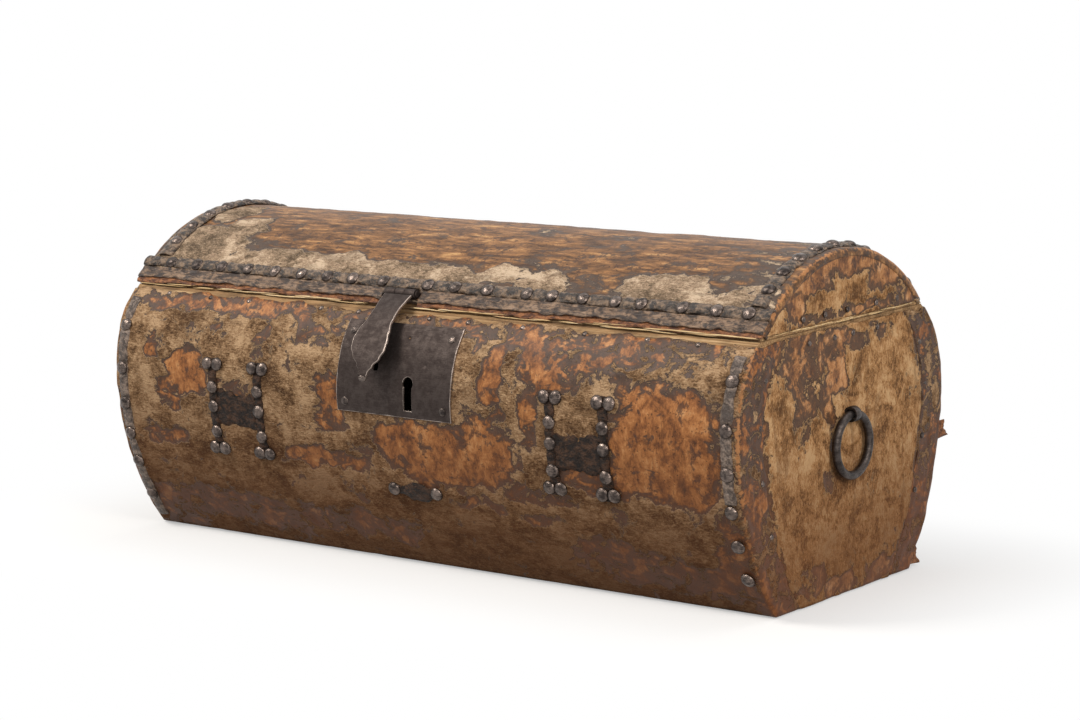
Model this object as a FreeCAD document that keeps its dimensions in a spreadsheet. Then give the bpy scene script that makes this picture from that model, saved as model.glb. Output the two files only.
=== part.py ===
import FreeCAD, Part
import math
import os
import re
import Sketcher

# A barrel-shaped travel box of thin boards, covered in hide, with iron fittings.
# Millimetres. X runs along the length, the front faces -Y, and Z is up.
# The origin is on the floor, under the middle of the box.

SIZES = (
    # The whole box
    ("overall_length", 760.0),
    ("seam_height", 252.0),
    ("widest_half_depth", 176.0),
    ("lower_radius", 276.5),
    ("lid_radius", 180.2),
    ("seam_gap", 0.6),
    # Boards and hide
    ("hide_thickness", 2.0),
    ("stave_thickness", 10.0),
    ("end_board_thickness", 14.0),
    ("bottom_thickness", 12.0),
    ("body_fold_width", 40.0),
    ("lid_fold_width", 30.0),
    ("lid_bare_height", 9.0),
    ("lid_end_bare_height", 6.0),
    ("body_bare_height", 1.5),
    # Leather strips and patches
    ("trim_thickness", 1.6),
    ("lid_trim_width", 22.0),
    ("lid_trim_start", 15.5),
    ("lid_nail_line", 28.5),
    ("arch_trim_width", 18.0),
    ("edge_trim_width", 13.0),
    ("edge_trim_margin", 12.0),
    ("keeper_strip_width", 12.0),
    ("keeper_pitch", 60.0),
    ("keeper_half_height", 47.0),
    ("left_keeper_drop", 29.0),
    ("right_keeper_drop", 24.0),
    ("keeper_patch_drop", 30.0),
    ("keeper_patch_half_height", 18.5),
    ("left_keeper_place", 214.0),
    ("right_keeper_place", 205.0),
    ("tab_length", 66.0),
    ("tab_width", 14.0),
    ("tab_height", 82.0),
    ("tab_place", 3.0),
    # Nails and tacks
    ("nail_head_radius", 7.0),
    ("nail_head_rise", 4.2),
    ("nail_shank_radius", 1.4),
    ("nail_length", 13.0),
    ("tack_head_radius", 2.8),
    ("tack_head_rise", 1.4),
    ("tack_shank_radius", 0.8),
    ("tack_length", 9.0),
    ("shank_clearance", 0.05),
    ("nail_point", 3.0),
    # Lock
    ("lock_place", 10.0),
    ("lock_plate_width", 140.0),
    ("lock_plate_drop", 17.0),
    ("lock_plate_margin", 11.0),
    ("iron_sheet", 2.0),
    ("lock_nail_margin", 10.0),
    ("lock_nail_head_radius", 4.0),
    ("lock_nail_head_rise", 1.2),
    ("keyhole_place", 8.0),
    ("keyhole_rise", 16.0),
    ("keyhole_radius", 4.9),
    ("keyhole_slot_width", 6.0),
    ("keyhole_drop", 26.0),
    ("case_width", 104.0),
    ("case_foot", 3.5),
    ("case_head", 13.0),
    ("case_back", 146.0),
    ("case_wall", 2.0),
    ("bolt_drop", 47.0),
    ("bolt_width", 6.0),
    ("bolt_thickness", 2.8),
    ("bolt_length", 66.0),
    ("bolt_stand_off", 4.0),
    ("bolt_throw", 14.0),
    ("bolt_play", 0.4),
    ("guide_width", 16.0),
    ("guide_inset", 4.0),
    ("spring_span", 40.0),
    ("spring_width", 5.0),
    ("spring_thickness", 1.0),
    # Hasp
    ("hasp_place", 33.0),
    ("hasp_knuckle_width", 37.0),
    ("hasp_axis_rise", 14.0),
    ("hasp_barrel_radius", 4.6),
    ("hasp_pin_radius", 2.0),
    ("hasp_gap", 0.4),
    ("hasp_width", 42.0),
    ("hasp_drop", 81.0),
    ("hasp_thickness", 3.0),
    ("hasp_curl_radius", 3.0),
    ("hasp_curl_width", 11.0),
    ("hasp_swing", 9.2),
    ("hasp_leaf_height", 34.0),
    ("hasp_web_width", 5.0),
    ("tongue_thickness", 4.0),
    ("tongue_height", 14.0),
    ("tongue_depth", 8.2),
    ("tongue_wall", 2.2),
    ("slot_width", 6.4),
    ("slot_clearance", 0.8),
    ("slot_rise", 8.4),
    # Lid hinges
    ("hinge_width", 44.0),
    ("hinge_nail_pitch", 22.0),
    ("hinge_nail_drop", 36.0),
    ("hinge_nail_rise", 30.0),
    ("hinge_offset", 7.6),
    ("hinge_barrel_radius", 4.6),
    ("hinge_pin_radius", 2.2),
    ("hinge_gap", 0.4),
    ("hinge_leaf_drop", 52.0),
    ("hinge_leaf_rise", 40.0),
    ("hinge_leaf_start", 9.0),
    ("hinge_web_height", 1.6),
    ("pin_clearance", 0.05),
    ("pin_head_thickness", 1.6),
    ("pin_head_radius", 3.4),
    # Carrying rings
    ("ring_radius", 28.5),
    ("ring_wire_radius", 4.1),
    ("ring_eye_height", 168.5),
    ("ring_eye_clearance", 0.8),
    ("ring_eye_thickness", 2.4),
    ("ring_eye_width", 8.0),
    ("ring_eye_stand_off", 0.5),
    ("staple_leg_thickness", 5.0),
    ("staple_clinch_length", 20.0),
    ("staple_clinch_thickness", 2.4),
    # Cuts
    ("overrun", 5.0),
)

# The widest height and the upper arc of the sides as shares of the height of the seam
WIDEST_HEIGHT_SHARE = 0.6825
UPPER_RADIUS_SHARE = 0.4325
# Places along the length as shares of half of it, left to right
HINGE_PLACE_SHARE = 0.62
LID_NAIL_SHARES = (
    -0.911, -0.818, -0.729, -0.634, -0.539, -0.447, -0.358, -0.271, -0.168, -0.022,
    0.066, 0.168, 0.290, 0.368, 0.461, 0.558, 0.634, 0.753, 0.850, 0.940,
)
BACK_LID_NAIL_SHARES = (
    -0.92, -0.83, -0.745, -0.49, -0.40, -0.31, -0.215, -0.12, -0.03, 0.06,
    0.155, 0.25, 0.345, 0.435, 0.50, 0.75, 0.84, 0.935,
)
BODY_TACK_SHARES = (
    -0.863, -0.713, -0.576, -0.326, -0.20, 0.032, 0.155, 0.324, 0.511, 0.695, 0.839,
)
BACK_TACK_SHARES = (-0.88, -0.74, -0.45, -0.30, -0.12, 0.05, 0.21, 0.36, 0.48, 0.76, 0.90)
# Heights of nails as shares of the height of the seam
RIGHT_EDGE_NAIL_SHARES = (0.155, 0.285, 0.413, 0.553, 0.708, 0.875)
LEFT_EDGE_NAIL_SHARES = (0.141, 0.288, 0.409, 0.534, 0.68, 0.85)
FOLD_TACK_SHARES = (0.30, 0.50, 0.70, 0.86)
# Places along the arch as shares of its half angle from the crown
ARCH_NAIL_SHARES = (-0.64, -0.47, -0.30, -0.13, 0.05, 0.22, 0.39, 0.56, 0.72)
LID_END_TACK_SHARES = (-0.50, -0.24, 0.03, 0.38, 0.64)
BODY_END_TACK_SHARES = (-0.60, -0.18, 0.13, 0.55)
# Heights of the nails of a strap keeper as shares of its half height
KEEPER_ROW_SHARES = (0.42, 0.0, -0.55)
KEEPER_END_SHARE = 0.91
KEEPER_PAIR_SHARE = 0.56
# The hasp's outline: shares of its drop below the pin and of its greatest width
HASP_OUTLINE_SHARES = (
    (0.03, 0.80), (0.20, 0.72), (0.36, 0.74), (0.54, 0.98), (0.66, 1.0),
    (0.78, 0.80), (0.88, 0.42), (0.95, 0.24), (1.0, 0.24),
)
STAVE_JOINT_SHARE = 0.36
# Reach of a hinge's web over its barrel, as a share of the barrel's radius
WEB_SHARE = 0.7
LID_STAVE_SHARES = (-1.0, -0.6, -0.2, 0.2, 0.6, 1.0)

# Sizes that follow from the ones above
DERIVED = {
    "widest_height": "seam_height * %s" % WIDEST_HEIGHT_SHARE,
    "upper_radius": "seam_height * %s" % UPPER_RADIUS_SHARE,
    "left_keeper_height": "widest_height - left_keeper_drop",
    "right_keeper_height": "widest_height - right_keeper_drop",
    "keeper_patch_height": "widest_height - keeper_patch_drop",
    "lock_plate_low": "widest_height - lock_plate_drop",
    "lock_plate_high": "seam_height - lock_plate_margin",
    "keyhole_height": "widest_height + keyhole_rise",
    "case_low": "lock_plate_low + case_foot",
    "case_high": "lock_plate_high - case_head",
    "bolt_height": "seam_height - bolt_drop",
    "hasp_axis_height": "seam_height + hasp_axis_rise",
    "hinge_place": "overall_length / 2 * %s" % HINGE_PLACE_SHARE,
}

doc = FreeCAD.newDocument("travel_box")
sheet = doc.addObject("Spreadsheet::Sheet", "Sizes")
for row, (alias, number) in enumerate(SIZES, start=1):
    sheet.set("A%d" % row, alias.replace("_", " "))
    sheet.set("B%d" % row, str(number))
    sheet.setAlias("B%d" % row, alias)
doc.recompute()

ALIASES = {alias for alias, number in SIZES}
sub_parts = []


def spelled(name):
    """A named size as its cell, or as the expression that it follows from."""
    if name in DERIVED:
        return "(%s)" % full(DERIVED[name])
    return "Sizes." + name if name in ALIASES else name


def full(expression):
    """Point each named size in an expression at its cell."""
    return re.sub(r"[a-z_]+", lambda m: spelled(m[0]), str(expression))


def size(expression):
    """The present value of an expression of named sizes."""
    result = sheet.evalExpression(full(expression))
    return float(getattr(result, "Value", result))


def bind(thing, name, expression):
    thing.setExpression(name, full(expression))


def keep(thing, label):
    """Mark a finished sub-part, under the name that it is written by."""
    thing.Label = label
    sub_parts.append(thing)
    return thing


# Section of the box
# Front and back of the body are two arcs each, which meet at the widest height.
# side is -1 for the front and 1 for the back; inset is measured inwards from the hide's outer face.

def arc_centre(side, radius):
    return "(%d * (widest_half_depth - %s))" % (side, radius)


def body_y(side, radius, height, inset):
    reach = "sqrt((%s - (%s))^2 - (%s - widest_height)^2)" % (radius, inset, height)
    return "(%d * (widest_half_depth - %s + %s))" % (side, radius, reach)


SEAM_HALF_DEPTH = body_y(1, "upper_radius", "seam_height", "0")
LID_CENTRE = "(seam_height - sqrt(lid_radius^2 - %s^2))" % SEAM_HALF_DEPTH
SEAM_ANGLE = "(asin((seam_height - %s) / lid_radius))" % LID_CENTRE
LID_HALF_ANGLE = "(90 deg - %s)" % SEAM_ANGLE


def lid_angle(distance):
    """Angle above the horizontal of a point that far along the lid from the seam."""
    return "(%s + (%s) / lid_radius * 1 rad)" % (SEAM_ANGLE, distance)


def lid_point(side, angle, inset):
    y = "(%d * (lid_radius - (%s)) * cos(%s))" % (side, inset, angle)
    z = "(%s + (lid_radius - (%s)) * sin(%s))" % (LID_CENTRE, inset, angle)
    return y, z


def lid_y(side, height, inset):
    return "(%d * sqrt((lid_radius - (%s))^2 - (%s - %s)^2))" % (side, inset, height, LID_CENTRE)


def upper_face(side, height, inset):
    return body_y(side, "upper_radius", height, inset)


def lower_face(side, height, inset):
    return body_y(side, "lower_radius", height, inset)


# Sketches and pads
# A corner is (across, up), or (across, up, centre across, centre up, radius) where an arc leads on.

def plane_of(body, role):
    return next(feature for feature in body.Origin.OriginFeatures if feature.Role == role)


def new_sketch(body, role, place):
    sketch = body.newObject("Sketcher::SketchObject", "Sketch")
    sketch.AttachmentSupport = [(plane_of(body, role), "")]
    sketch.MapMode = "FlatFace"
    # The normal of this plane is -Y, and that of the others is +X or +Z
    bind(sketch, "AttachmentOffset.Base.z", "-(%s)" % place if role == "XZ_Plane" else place)
    return sketch


def arc_between(start, end, centre):
    """The arc of under half a turn, and whether it runs backwards."""
    from_angle = math.atan2(start[1] - centre[1], start[0] - centre[0])
    to_angle = math.atan2(end[1] - centre[1], end[0] - centre[0])
    turn = (to_angle - from_angle) % (2 * math.pi)
    backwards = turn > math.pi
    radius = math.dist(start, centre)
    circle = Part.Circle(FreeCAD.Vector(centre[0], centre[1], 0), FreeCAD.Vector(0, 0, 1), radius)
    first, last = (to_angle, from_angle) if backwards else (from_angle, to_angle)
    return Part.ArcOfCircle(circle, first, last), backwards


def draw_outline(body, role, place, corners):
    """A closed outline, each corner held at its own place."""
    sketch = new_sketch(body, role, place)
    points = [(size(corner[0]), size(corner[1])) for corner in corners]
    starts, ends, rounds = [], [], []
    for index, corner in enumerate(corners):
        start, end = points[index], points[(index + 1) % len(points)]
        if len(corner) == 2:
            edge = Part.LineSegment(FreeCAD.Vector(*start, 0), FreeCAD.Vector(*end, 0))
            backwards = False
        else:
            edge, backwards = arc_between(start, end, (size(corner[2]), size(corner[3])))
            rounds.append((index, corner[4]))
        sketch.addGeometry(edge, False)
        starts.append((index, 2 if backwards else 1))
        ends.append((index, 1 if backwards else 2))
    for index, end in enumerate(ends):
        sketch.addConstraint(Sketcher.Constraint("Coincident", *end, *starts[(index + 1) % len(starts)]))
    for index, (corner, start) in enumerate(zip(corners, starts)):
        name_size(sketch, Sketcher.Constraint("DistanceX", -1, 1, *start, points[index][0]),
                  "across_%d" % index, corner[0])
        name_size(sketch, Sketcher.Constraint("DistanceY", -1, 1, *start, points[index][1]),
                  "up_%d" % index, corner[1])
    for index, radius in rounds:
        name_size(sketch, Sketcher.Constraint("Radius", index, size(radius)), "round_%d" % index, radius)
    return sketch


def name_size(sketch, constraint, name, expression):
    number = sketch.addConstraint(constraint)
    sketch.renameConstraint(number, name)
    bind(sketch, "Constraints." + name, expression)


def draw_circle(body, role, place, centre, radius):
    sketch = new_sketch(body, role, place)
    middle = FreeCAD.Vector(size(centre[0]), size(centre[1]), 0)
    sketch.addGeometry(Part.Circle(middle, FreeCAD.Vector(0, 0, 1), size(radius)), False)
    name_size(sketch, Sketcher.Constraint("DistanceX", -1, 1, 0, 3, middle.x), "across", centre[0])
    name_size(sketch, Sketcher.Constraint("DistanceY", -1, 1, 0, 3, middle.y), "up", centre[1])
    name_size(sketch, Sketcher.Constraint("Radius", 0, size(radius)), "round", radius)
    return sketch


def extrude(body, kind, sketch, depth):
    """A pad or pocket, half to each side of its sketch."""
    feature = body.newObject("PartDesign::" + kind, kind)
    feature.Profile = sketch
    feature.SideType = "Symmetric"
    bind(feature, "Length", depth)
    return feature


def new_body(name):
    return doc.addObject("PartDesign::Body", name)


def pad(body, role, place, depth, corners):
    return extrude(body, "Pad", draw_outline(body, role, place, corners), depth)


def pocket(body, role, place, depth, corners):
    return extrude(body, "Pocket", draw_outline(body, role, place, corners), depth)


def slab(name, place, depth, corners):
    """One pad across the length of the box."""
    body = new_body(name)
    pad(body, "YZ_Plane", place, depth, corners)
    return body


def rectangle(left, right, low, high):
    return ((left, low), (right, low), (right, high), (left, high))


def from_middle(end, near, far):
    """Left and right of a span, from its two distances to the middle of the box."""
    return (near, far) if end > 0 else ("(-%s)" % far, "(-%s)" % near)


def join(kind, name, base, tool):
    thing = doc.addObject("Part::" + kind, name)
    thing.Base = base
    thing.Tool = tool
    return thing


def shaped(name, shape):
    """A solid worked out from the sizes."""
    feature = doc.addObject("Part::Feature", name)
    feature.Shape = shape
    return feature


# Outlines of the section

def body_strip(side, low, high, outer, inner):
    """A strip of the body's wall from one height to another, over both arcs."""
    lower = (arc_centre(side, "lower_radius"), "widest_height")
    upper = (arc_centre(side, "upper_radius"), "widest_height")
    return (
        (lower_face(side, low, outer), low, *lower, "lower_radius - (%s)" % outer),
        (lower_face(side, "widest_height", outer), "widest_height", *upper, "upper_radius - (%s)" % outer),
        (upper_face(side, high, outer), high),
        (upper_face(side, high, inner), high, *upper, "upper_radius - (%s)" % inner),
        (lower_face(side, "widest_height", inner), "widest_height", *lower, "lower_radius - (%s)" % inner),
        (lower_face(side, low, inner), low),
    )


def one_arc_strip(side, radius, low, high, outer, inner):
    centre = (arc_centre(side, radius), "widest_height")
    return (
        (body_y(side, radius, low, outer), low, *centre, "%s - (%s)" % (radius, outer)),
        (body_y(side, radius, high, outer), high),
        (body_y(side, radius, high, inner), high, *centre, "%s - (%s)" % (radius, inner)),
        (body_y(side, radius, low, inner), low),
    )


def fold_y(side, radius, height):
    """Inner edge of the hide that is folded onto an end: the side's own line, moved inwards."""
    return "(%s - %d * body_fold_width)" % (body_y(side, radius, height, "0"), side)


def fold_centre(side, radius):
    return ("(%s - %d * body_fold_width)" % (arc_centre(side, radius), side), "widest_height", radius)


def fold_strip(side, low, high):
    """The folded hide of one side, from the side's outer line to its inner edge."""
    return (
        (lower_face(side, low, "0"), low,
         arc_centre(side, "lower_radius"), "widest_height", "lower_radius"),
        (lower_face(side, "widest_height", "0"), "widest_height",
         arc_centre(side, "upper_radius"), "widest_height", "upper_radius"),
        (upper_face(side, high, "0"), high),
        (fold_y(side, "upper_radius", high), high, *fold_centre(side, "upper_radius")),
        (fold_y(side, "upper_radius", "widest_height"), "widest_height",
         *fold_centre(side, "lower_radius")),
        (fold_y(side, "lower_radius", low), low),
    )


def end_panel(low, high):
    """The hide of an end, between the folds of the two sides."""
    return (
        (fold_y(-1, "lower_radius", low), low, *fold_centre(-1, "lower_radius")),
        (fold_y(-1, "lower_radius", "widest_height"), "widest_height", *fold_centre(-1, "upper_radius")),
        (fold_y(-1, "upper_radius", high), high),
        (fold_y(1, "upper_radius", high), high, *fold_centre(1, "upper_radius")),
        (fold_y(1, "upper_radius", "widest_height"), "widest_height", *fold_centre(1, "lower_radius")),
        (fold_y(1, "lower_radius", low), low),
    )


def body_section(low, high, inset):
    """The whole section of the body between two heights."""
    corners = []
    for side, order in ((-1, 1), (1, -1)):
        lower = (arc_centre(side, "lower_radius"), "widest_height", "lower_radius - (%s)" % inset)
        upper = (arc_centre(side, "upper_radius"), "widest_height", "upper_radius - (%s)" % inset)
        bottom = (lower_face(side, low, inset), low)
        middle = (lower_face(side, "widest_height", inset), "widest_height")
        top = (upper_face(side, high, inset), high)
        if order == 1:
            corners += [bottom + lower, middle + upper, top]
        else:
            corners += [top + upper, middle + lower, bottom]
    return corners


def lid_strip(start_side, start_angle, end_side, end_angle, outer, inner):
    """A strip of the lid's wall between two angles, with square ends."""
    centre = ("0", LID_CENTRE)
    return (
        (*lid_point(start_side, start_angle, outer), *centre, "lid_radius - (%s)" % outer),
        lid_point(end_side, end_angle, outer),
        (*lid_point(end_side, end_angle, inner), *centre, "lid_radius - (%s)" % inner),
        lid_point(start_side, start_angle, inner),
    )


LID_LOW = "(seam_height + seam_gap)"
HIDE_LOW = "(seam_height + lid_bare_height)"
END_HIDE_LOW = "(seam_height + lid_end_bare_height)"
WOOD_LENGTH = "(overall_length - 2 * hide_thickness)"
WOOD_INSET = "(hide_thickness + stave_thickness)"
BOARD_LOW = "(hide_thickness + bottom_thickness)"
BODY_HIDE_HIGH = "(seam_height - body_bare_height)"
STAVE_JOINT = "(widest_height * %s)" % STAVE_JOINT_SHARE
END_BOARD_PLACE = "(overall_length / 2 - hide_thickness - end_board_thickness / 2)"
END_HIDE_PLACE = "(overall_length / 2 - hide_thickness / 2)"
PLATE_INSET = "(-iron_sheet)"
ENDS = (("left", -1), ("right", 1))
SIDES = (("front", -1), ("back", 1))


# Lock and hasp places
HASP_RADIUS = "(lid_radius - hide_thickness + hasp_barrel_radius + hasp_gap)"
HASP_Y = "(-sqrt(%s^2 - (hasp_axis_height - %s)^2))" % (HASP_RADIUS, LID_CENTRE)
HASP_ANGLE = "(asin((hasp_axis_height - %s) / %s))" % (LID_CENTRE, HASP_RADIUS)
HASP_X = "(-hasp_place)"
LOCK_X = "(-lock_place)"
BOLT_Y = "(%s + bolt_play + bolt_thickness / 2)" % upper_face(-1, "(bolt_height + bolt_width / 2)", "0")


def along_lid(x_place, angle, side, outset):
    """A point on the lid and the direction that faces outwards there."""
    y, z = lid_point(side, angle, "-(%s)" % outset)
    turn = math.radians(size(angle))
    normal = FreeCAD.Vector(0, side * math.cos(turn), math.sin(turn))
    return FreeCAD.Vector(size(x_place), size(y), size(z)), normal


def along_body(x_place, height, side, outset):
    """A point on the front or back of the body and the direction that faces outwards there."""
    level = size(height)
    radius = "upper_radius" if level > size("widest_height") else "lower_radius"
    point = FreeCAD.Vector(size(x_place), size(body_y(side, radius, height, "-(%s)" % outset)), level)
    centre = FreeCAD.Vector(point.x, size(arc_centre(side, radius)), size("widest_height"))
    return point, (point - centre).normalize()


def along_end(end, y_place, height):
    point = FreeCAD.Vector(end * size("overall_length / 2"), size(y_place), size(height))
    return point, FreeCAD.Vector(end, 0, 0)


def turned_nail(head_radius, head_rise, shank_radius, length):
    """A domed nail, its head on Z = 0 and its point below."""
    head, rise = size(head_radius), size(head_rise)
    shank, reach, point = size(shank_radius), size(length), size("nail_point")
    crown = FreeCAD.Vector(0, 0, rise)
    rim = FreeCAD.Vector(head, 0, 0)
    ball = (head * head + rise * rise) / (2 * rise)
    lean = math.asin(head / ball) / 2
    middle = FreeCAD.Vector(ball * math.sin(lean), 0, rise - ball + ball * math.cos(lean))
    corners = (rim, FreeCAD.Vector(shank, 0, 0), FreeCAD.Vector(shank, 0, point - reach),
               FreeCAD.Vector(0, 0, -reach), crown)
    edges = [Part.Arc(crown, middle, rim).toShape()]
    edges += [Part.makeLine(corners[i], corners[i + 1]) for i in range(len(corners) - 1)]
    return Part.Face(Part.Wire(edges)).revolve(FreeCAD.Vector(), FreeCAD.Vector(0, 0, 1), 360)


def driven(shape, spots):
    """A copy of a shape at each spot, its Z turned to face outwards."""
    copies = []
    for point, normal in spots:
        copy = shape.copy()
        copy.Placement = FreeCAD.Placement(point, FreeCAD.Rotation(FreeCAD.Vector(0, 0, 1), normal))
        copies.append(copy)
    return Part.makeCompound(copies)


def holes_for(name, shank_radius, length, spots):
    """Cutters for the shanks of nails, with running clearance."""
    radius = size("%s + shank_clearance" % shank_radius)
    reach, rise = size("%s + overrun" % length), size("overrun")
    drill = Part.makeCylinder(radius, reach + rise, FreeCAD.Vector(0, 0, -reach))
    return shaped(name, driven(drill, spots))


def drill(thing, name, cutters):
    """The piece with every hole that these cutters make in it."""
    for number, cutter in enumerate(cutters):
        thing = join("Cut", "%s_drilled_%d" % (name, number), thing, cutter)
    return thing


# Places of the nails
TRIM_FACE = "(-trim_thickness)"
KEEPERS = (("(-left_keeper_place)", "left_keeper_height"), ("right_keeper_place", "right_keeper_height"))


def shares_of_half_length(shares):
    return ["(overall_length / 2 * %s)" % share for share in shares]


def lid_edge_spots(side, shares):
    angle = lid_angle("lid_nail_line")
    return [along_lid(place, angle, side, "trim_thickness") for place in shares_of_half_length(shares)]


def arch_angle(share):
    """Angle above the horizontal, from the front, of a share of the half arch."""
    return "(90 deg + %s * %s)" % (share, LID_HALF_ANGLE)


def arch_spots(end):
    place = "(%d * (overall_length / 2 - arch_trim_width))" % end
    return [along_lid(place, arch_angle(share), -1, "trim_thickness") for share in ARCH_NAIL_SHARES]


def edge_spots(end, side, shares):
    place = "(%d * (overall_length / 2 - edge_trim_margin))" % end
    heights = ["(seam_height * %s)" % share for share in shares]
    return [along_body(place, height, side, "trim_thickness") for height in heights]


def keeper_spots(middle, keeper_height):
    """Two rows of nails, with a close pair at the top and bottom of each."""
    spots = []
    for row in (-1, 1):
        line = "(%s + %d * keeper_pitch / 2)" % (middle, row)
        for share in KEEPER_ROW_SHARES:
            height = "(%s + %s * keeper_half_height)" % (keeper_height, share)
            spots.append(along_body(line, height, -1, "trim_thickness"))
        for share in (-KEEPER_END_SHARE, KEEPER_END_SHARE):
            height = "(%s + %s * keeper_half_height)" % (keeper_height, share)
            for step in (-1, 1):
                place = "(%s + %d * keeper_strip_width * %s)" % (line, step, KEEPER_PAIR_SHARE)
                spots.append(along_body(place, height, -1, "trim_thickness"))
    return spots


def tab_spots():
    places = ["(tab_place + %d * (tab_length / 2 - nail_head_radius))" % step for step in (-1, 1)]
    return [along_body(place, "tab_height", -1, "trim_thickness") for place in places]


def body_tack_spots(side, shares):
    height = "(seam_height - 2 * tack_head_radius)"
    return [along_body(place, height, side, "0") for place in shares_of_half_length(shares)]


def end_tack_spots(end):
    """Tacks along the folded hide and under the seam."""
    spots = []
    for side in (-1, 1):
        for share in FOLD_TACK_SHARES:
            height = "(seam_height * %s)" % share
            radius = "upper_radius" if size(height) > size("widest_height") else "lower_radius"
            y = "(%s + %d * 2 * tack_head_radius)" % (fold_y(side, radius, height), side)
            spots.append(along_end(end, y, height))
    for share in BODY_END_TACK_SHARES:
        y = "(%s * (%s - body_fold_width))" % (share, SEAM_HALF_DEPTH)
        spots.append(along_end(end, y, "(seam_height - 4 * tack_head_radius)"))
    return spots


def lid_end_tack_spots(end):
    height = "(%s + 2 * tack_head_radius)" % END_HIDE_LOW
    places = ["(%s * %s)" % (share, SEAM_HALF_DEPTH) for share in LID_END_TACK_SHARES]
    return [along_end(end, place, height) for place in places]


def lock_nail_spots():
    """One nail near each corner of the lock plate."""
    spots = []
    for step in (-1, 1):
        place = "(%s + %d * (lock_plate_width / 2 - lock_nail_margin))" % (LOCK_X, step)
        for height in ("(lock_plate_low + lock_nail_margin)", "(lock_plate_high - lock_nail_margin)"):
            spots.append(along_body(place, height, -1, "iron_sheet"))
    return spots


def hinge_spots(part):
    """Two nails in each leaf of the lid's hinges."""
    spots = []
    for end in (-1, 1):
        for step in (-1, 1):
            place = "(%d * hinge_place + %d * hinge_nail_pitch / 2)" % (end, step)
            if part == "body":
                spots.append(along_body(place, "(seam_height - hinge_nail_drop)", 1, "iron_sheet"))
            else:
                spots.append(along_lid(place, lid_angle("hinge_nail_rise"), 1, "iron_sheet"))
    return spots


NAIL = ("nail_head_radius", "nail_head_rise", "nail_shank_radius", "nail_length")
TACK = ("tack_head_radius", "tack_head_rise", "tack_shank_radius", "tack_length")
LOCK_NAIL = ("lock_nail_head_radius", "lock_nail_head_rise", "nail_shank_radius", "nail_length")

nail_groups = {
    "lid_edge_nails": (NAIL, lid_edge_spots(-1, LID_NAIL_SHARES) + lid_edge_spots(1, BACK_LID_NAIL_SHARES)),
    "lid_arch_nails": (NAIL, arch_spots(-1) + arch_spots(1)),
    "lid_end_tacks": (TACK, lid_end_tack_spots(-1) + lid_end_tack_spots(1)),
    "lid_iron_nails": (LOCK_NAIL, hinge_spots("lid")),
    "body_edge_nails": (NAIL, edge_spots(-1, -1, LEFT_EDGE_NAIL_SHARES)
                        + edge_spots(1, -1, RIGHT_EDGE_NAIL_SHARES)
                        + edge_spots(-1, 1, RIGHT_EDGE_NAIL_SHARES)
                        + edge_spots(1, 1, LEFT_EDGE_NAIL_SHARES)),
    "keeper_nails": (NAIL, [spot for keeper in KEEPERS for spot in keeper_spots(*keeper)]),
    "tab_nails": (NAIL, tab_spots()),
    "body_tacks": (TACK, body_tack_spots(-1, BODY_TACK_SHARES) + body_tack_spots(1, BACK_TACK_SHARES)
                   + end_tack_spots(-1) + end_tack_spots(1)),
    "body_iron_nails": (LOCK_NAIL, lock_nail_spots() + hinge_spots("body")),
}
holes = {}
for group, (kind, spots) in nail_groups.items():
    keep(shaped(group, driven(turned_nail(*kind), spots)), group)
    holes[group] = holes_for(group + "_holes", kind[2], kind[3], spots)


# Boards of the body
def bottom_corners(low, high, inset):
    corners = ((-1, low), (1, low), (1, high), (-1, high))
    return tuple((lower_face(side, height, inset), height) for side, height in corners)


bottom = slab("bottom_board_blank", "0", WOOD_LENGTH,
              bottom_corners("hide_thickness", BOARD_LOW, WOOD_INSET))
keep(bottom, "bottom_board")
under = slab("bottom_hide_blank", "0", WOOD_LENGTH,
             bottom_corners("0", "hide_thickness", "hide_thickness"))
keep(under, "bottom_hide")

EYE_INNER = "(ring_wire_radius + ring_eye_clearance)"
EYE_OUTER = "(%s + ring_eye_thickness)" % EYE_INNER
EYE_PLACE = "(overall_length / 2 + ring_eye_stand_off + %s)" % EYE_OUTER
BOARD_INNER = "(overall_length / 2 - hide_thickness - end_board_thickness)"
for end_name, end in ENDS:
    board = slab("end_board_blank", "%d * %s" % (end, END_BOARD_PLACE), "end_board_thickness",
                 body_section(BOARD_LOW, "seam_height", WOOD_INSET))
    pocket(board, "XY_Plane", "ring_eye_height", "staple_leg_thickness",
           rectangle(*from_middle(end, "(%s - overrun)" % BOARD_INNER, "(overall_length / 2 + overrun)"),
                     "(-ring_eye_width / 2)", "(ring_eye_width / 2)"))
    keep(drill(board, "end_board_" + end_name, (holes["body_tacks"],)), "end_board_" + end_name)


# The lock's window through the wall, as deep as the lock's case
def case_window(body):
    pocket(body, "XZ_Plane", "(-widest_half_depth)", "(2 * (widest_half_depth - case_back) + 2 * overrun)",
           rectangle("(%s - case_width / 2)" % LOCK_X, "(%s + case_width / 2)" % LOCK_X,
                     "case_low", "case_high"))


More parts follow.
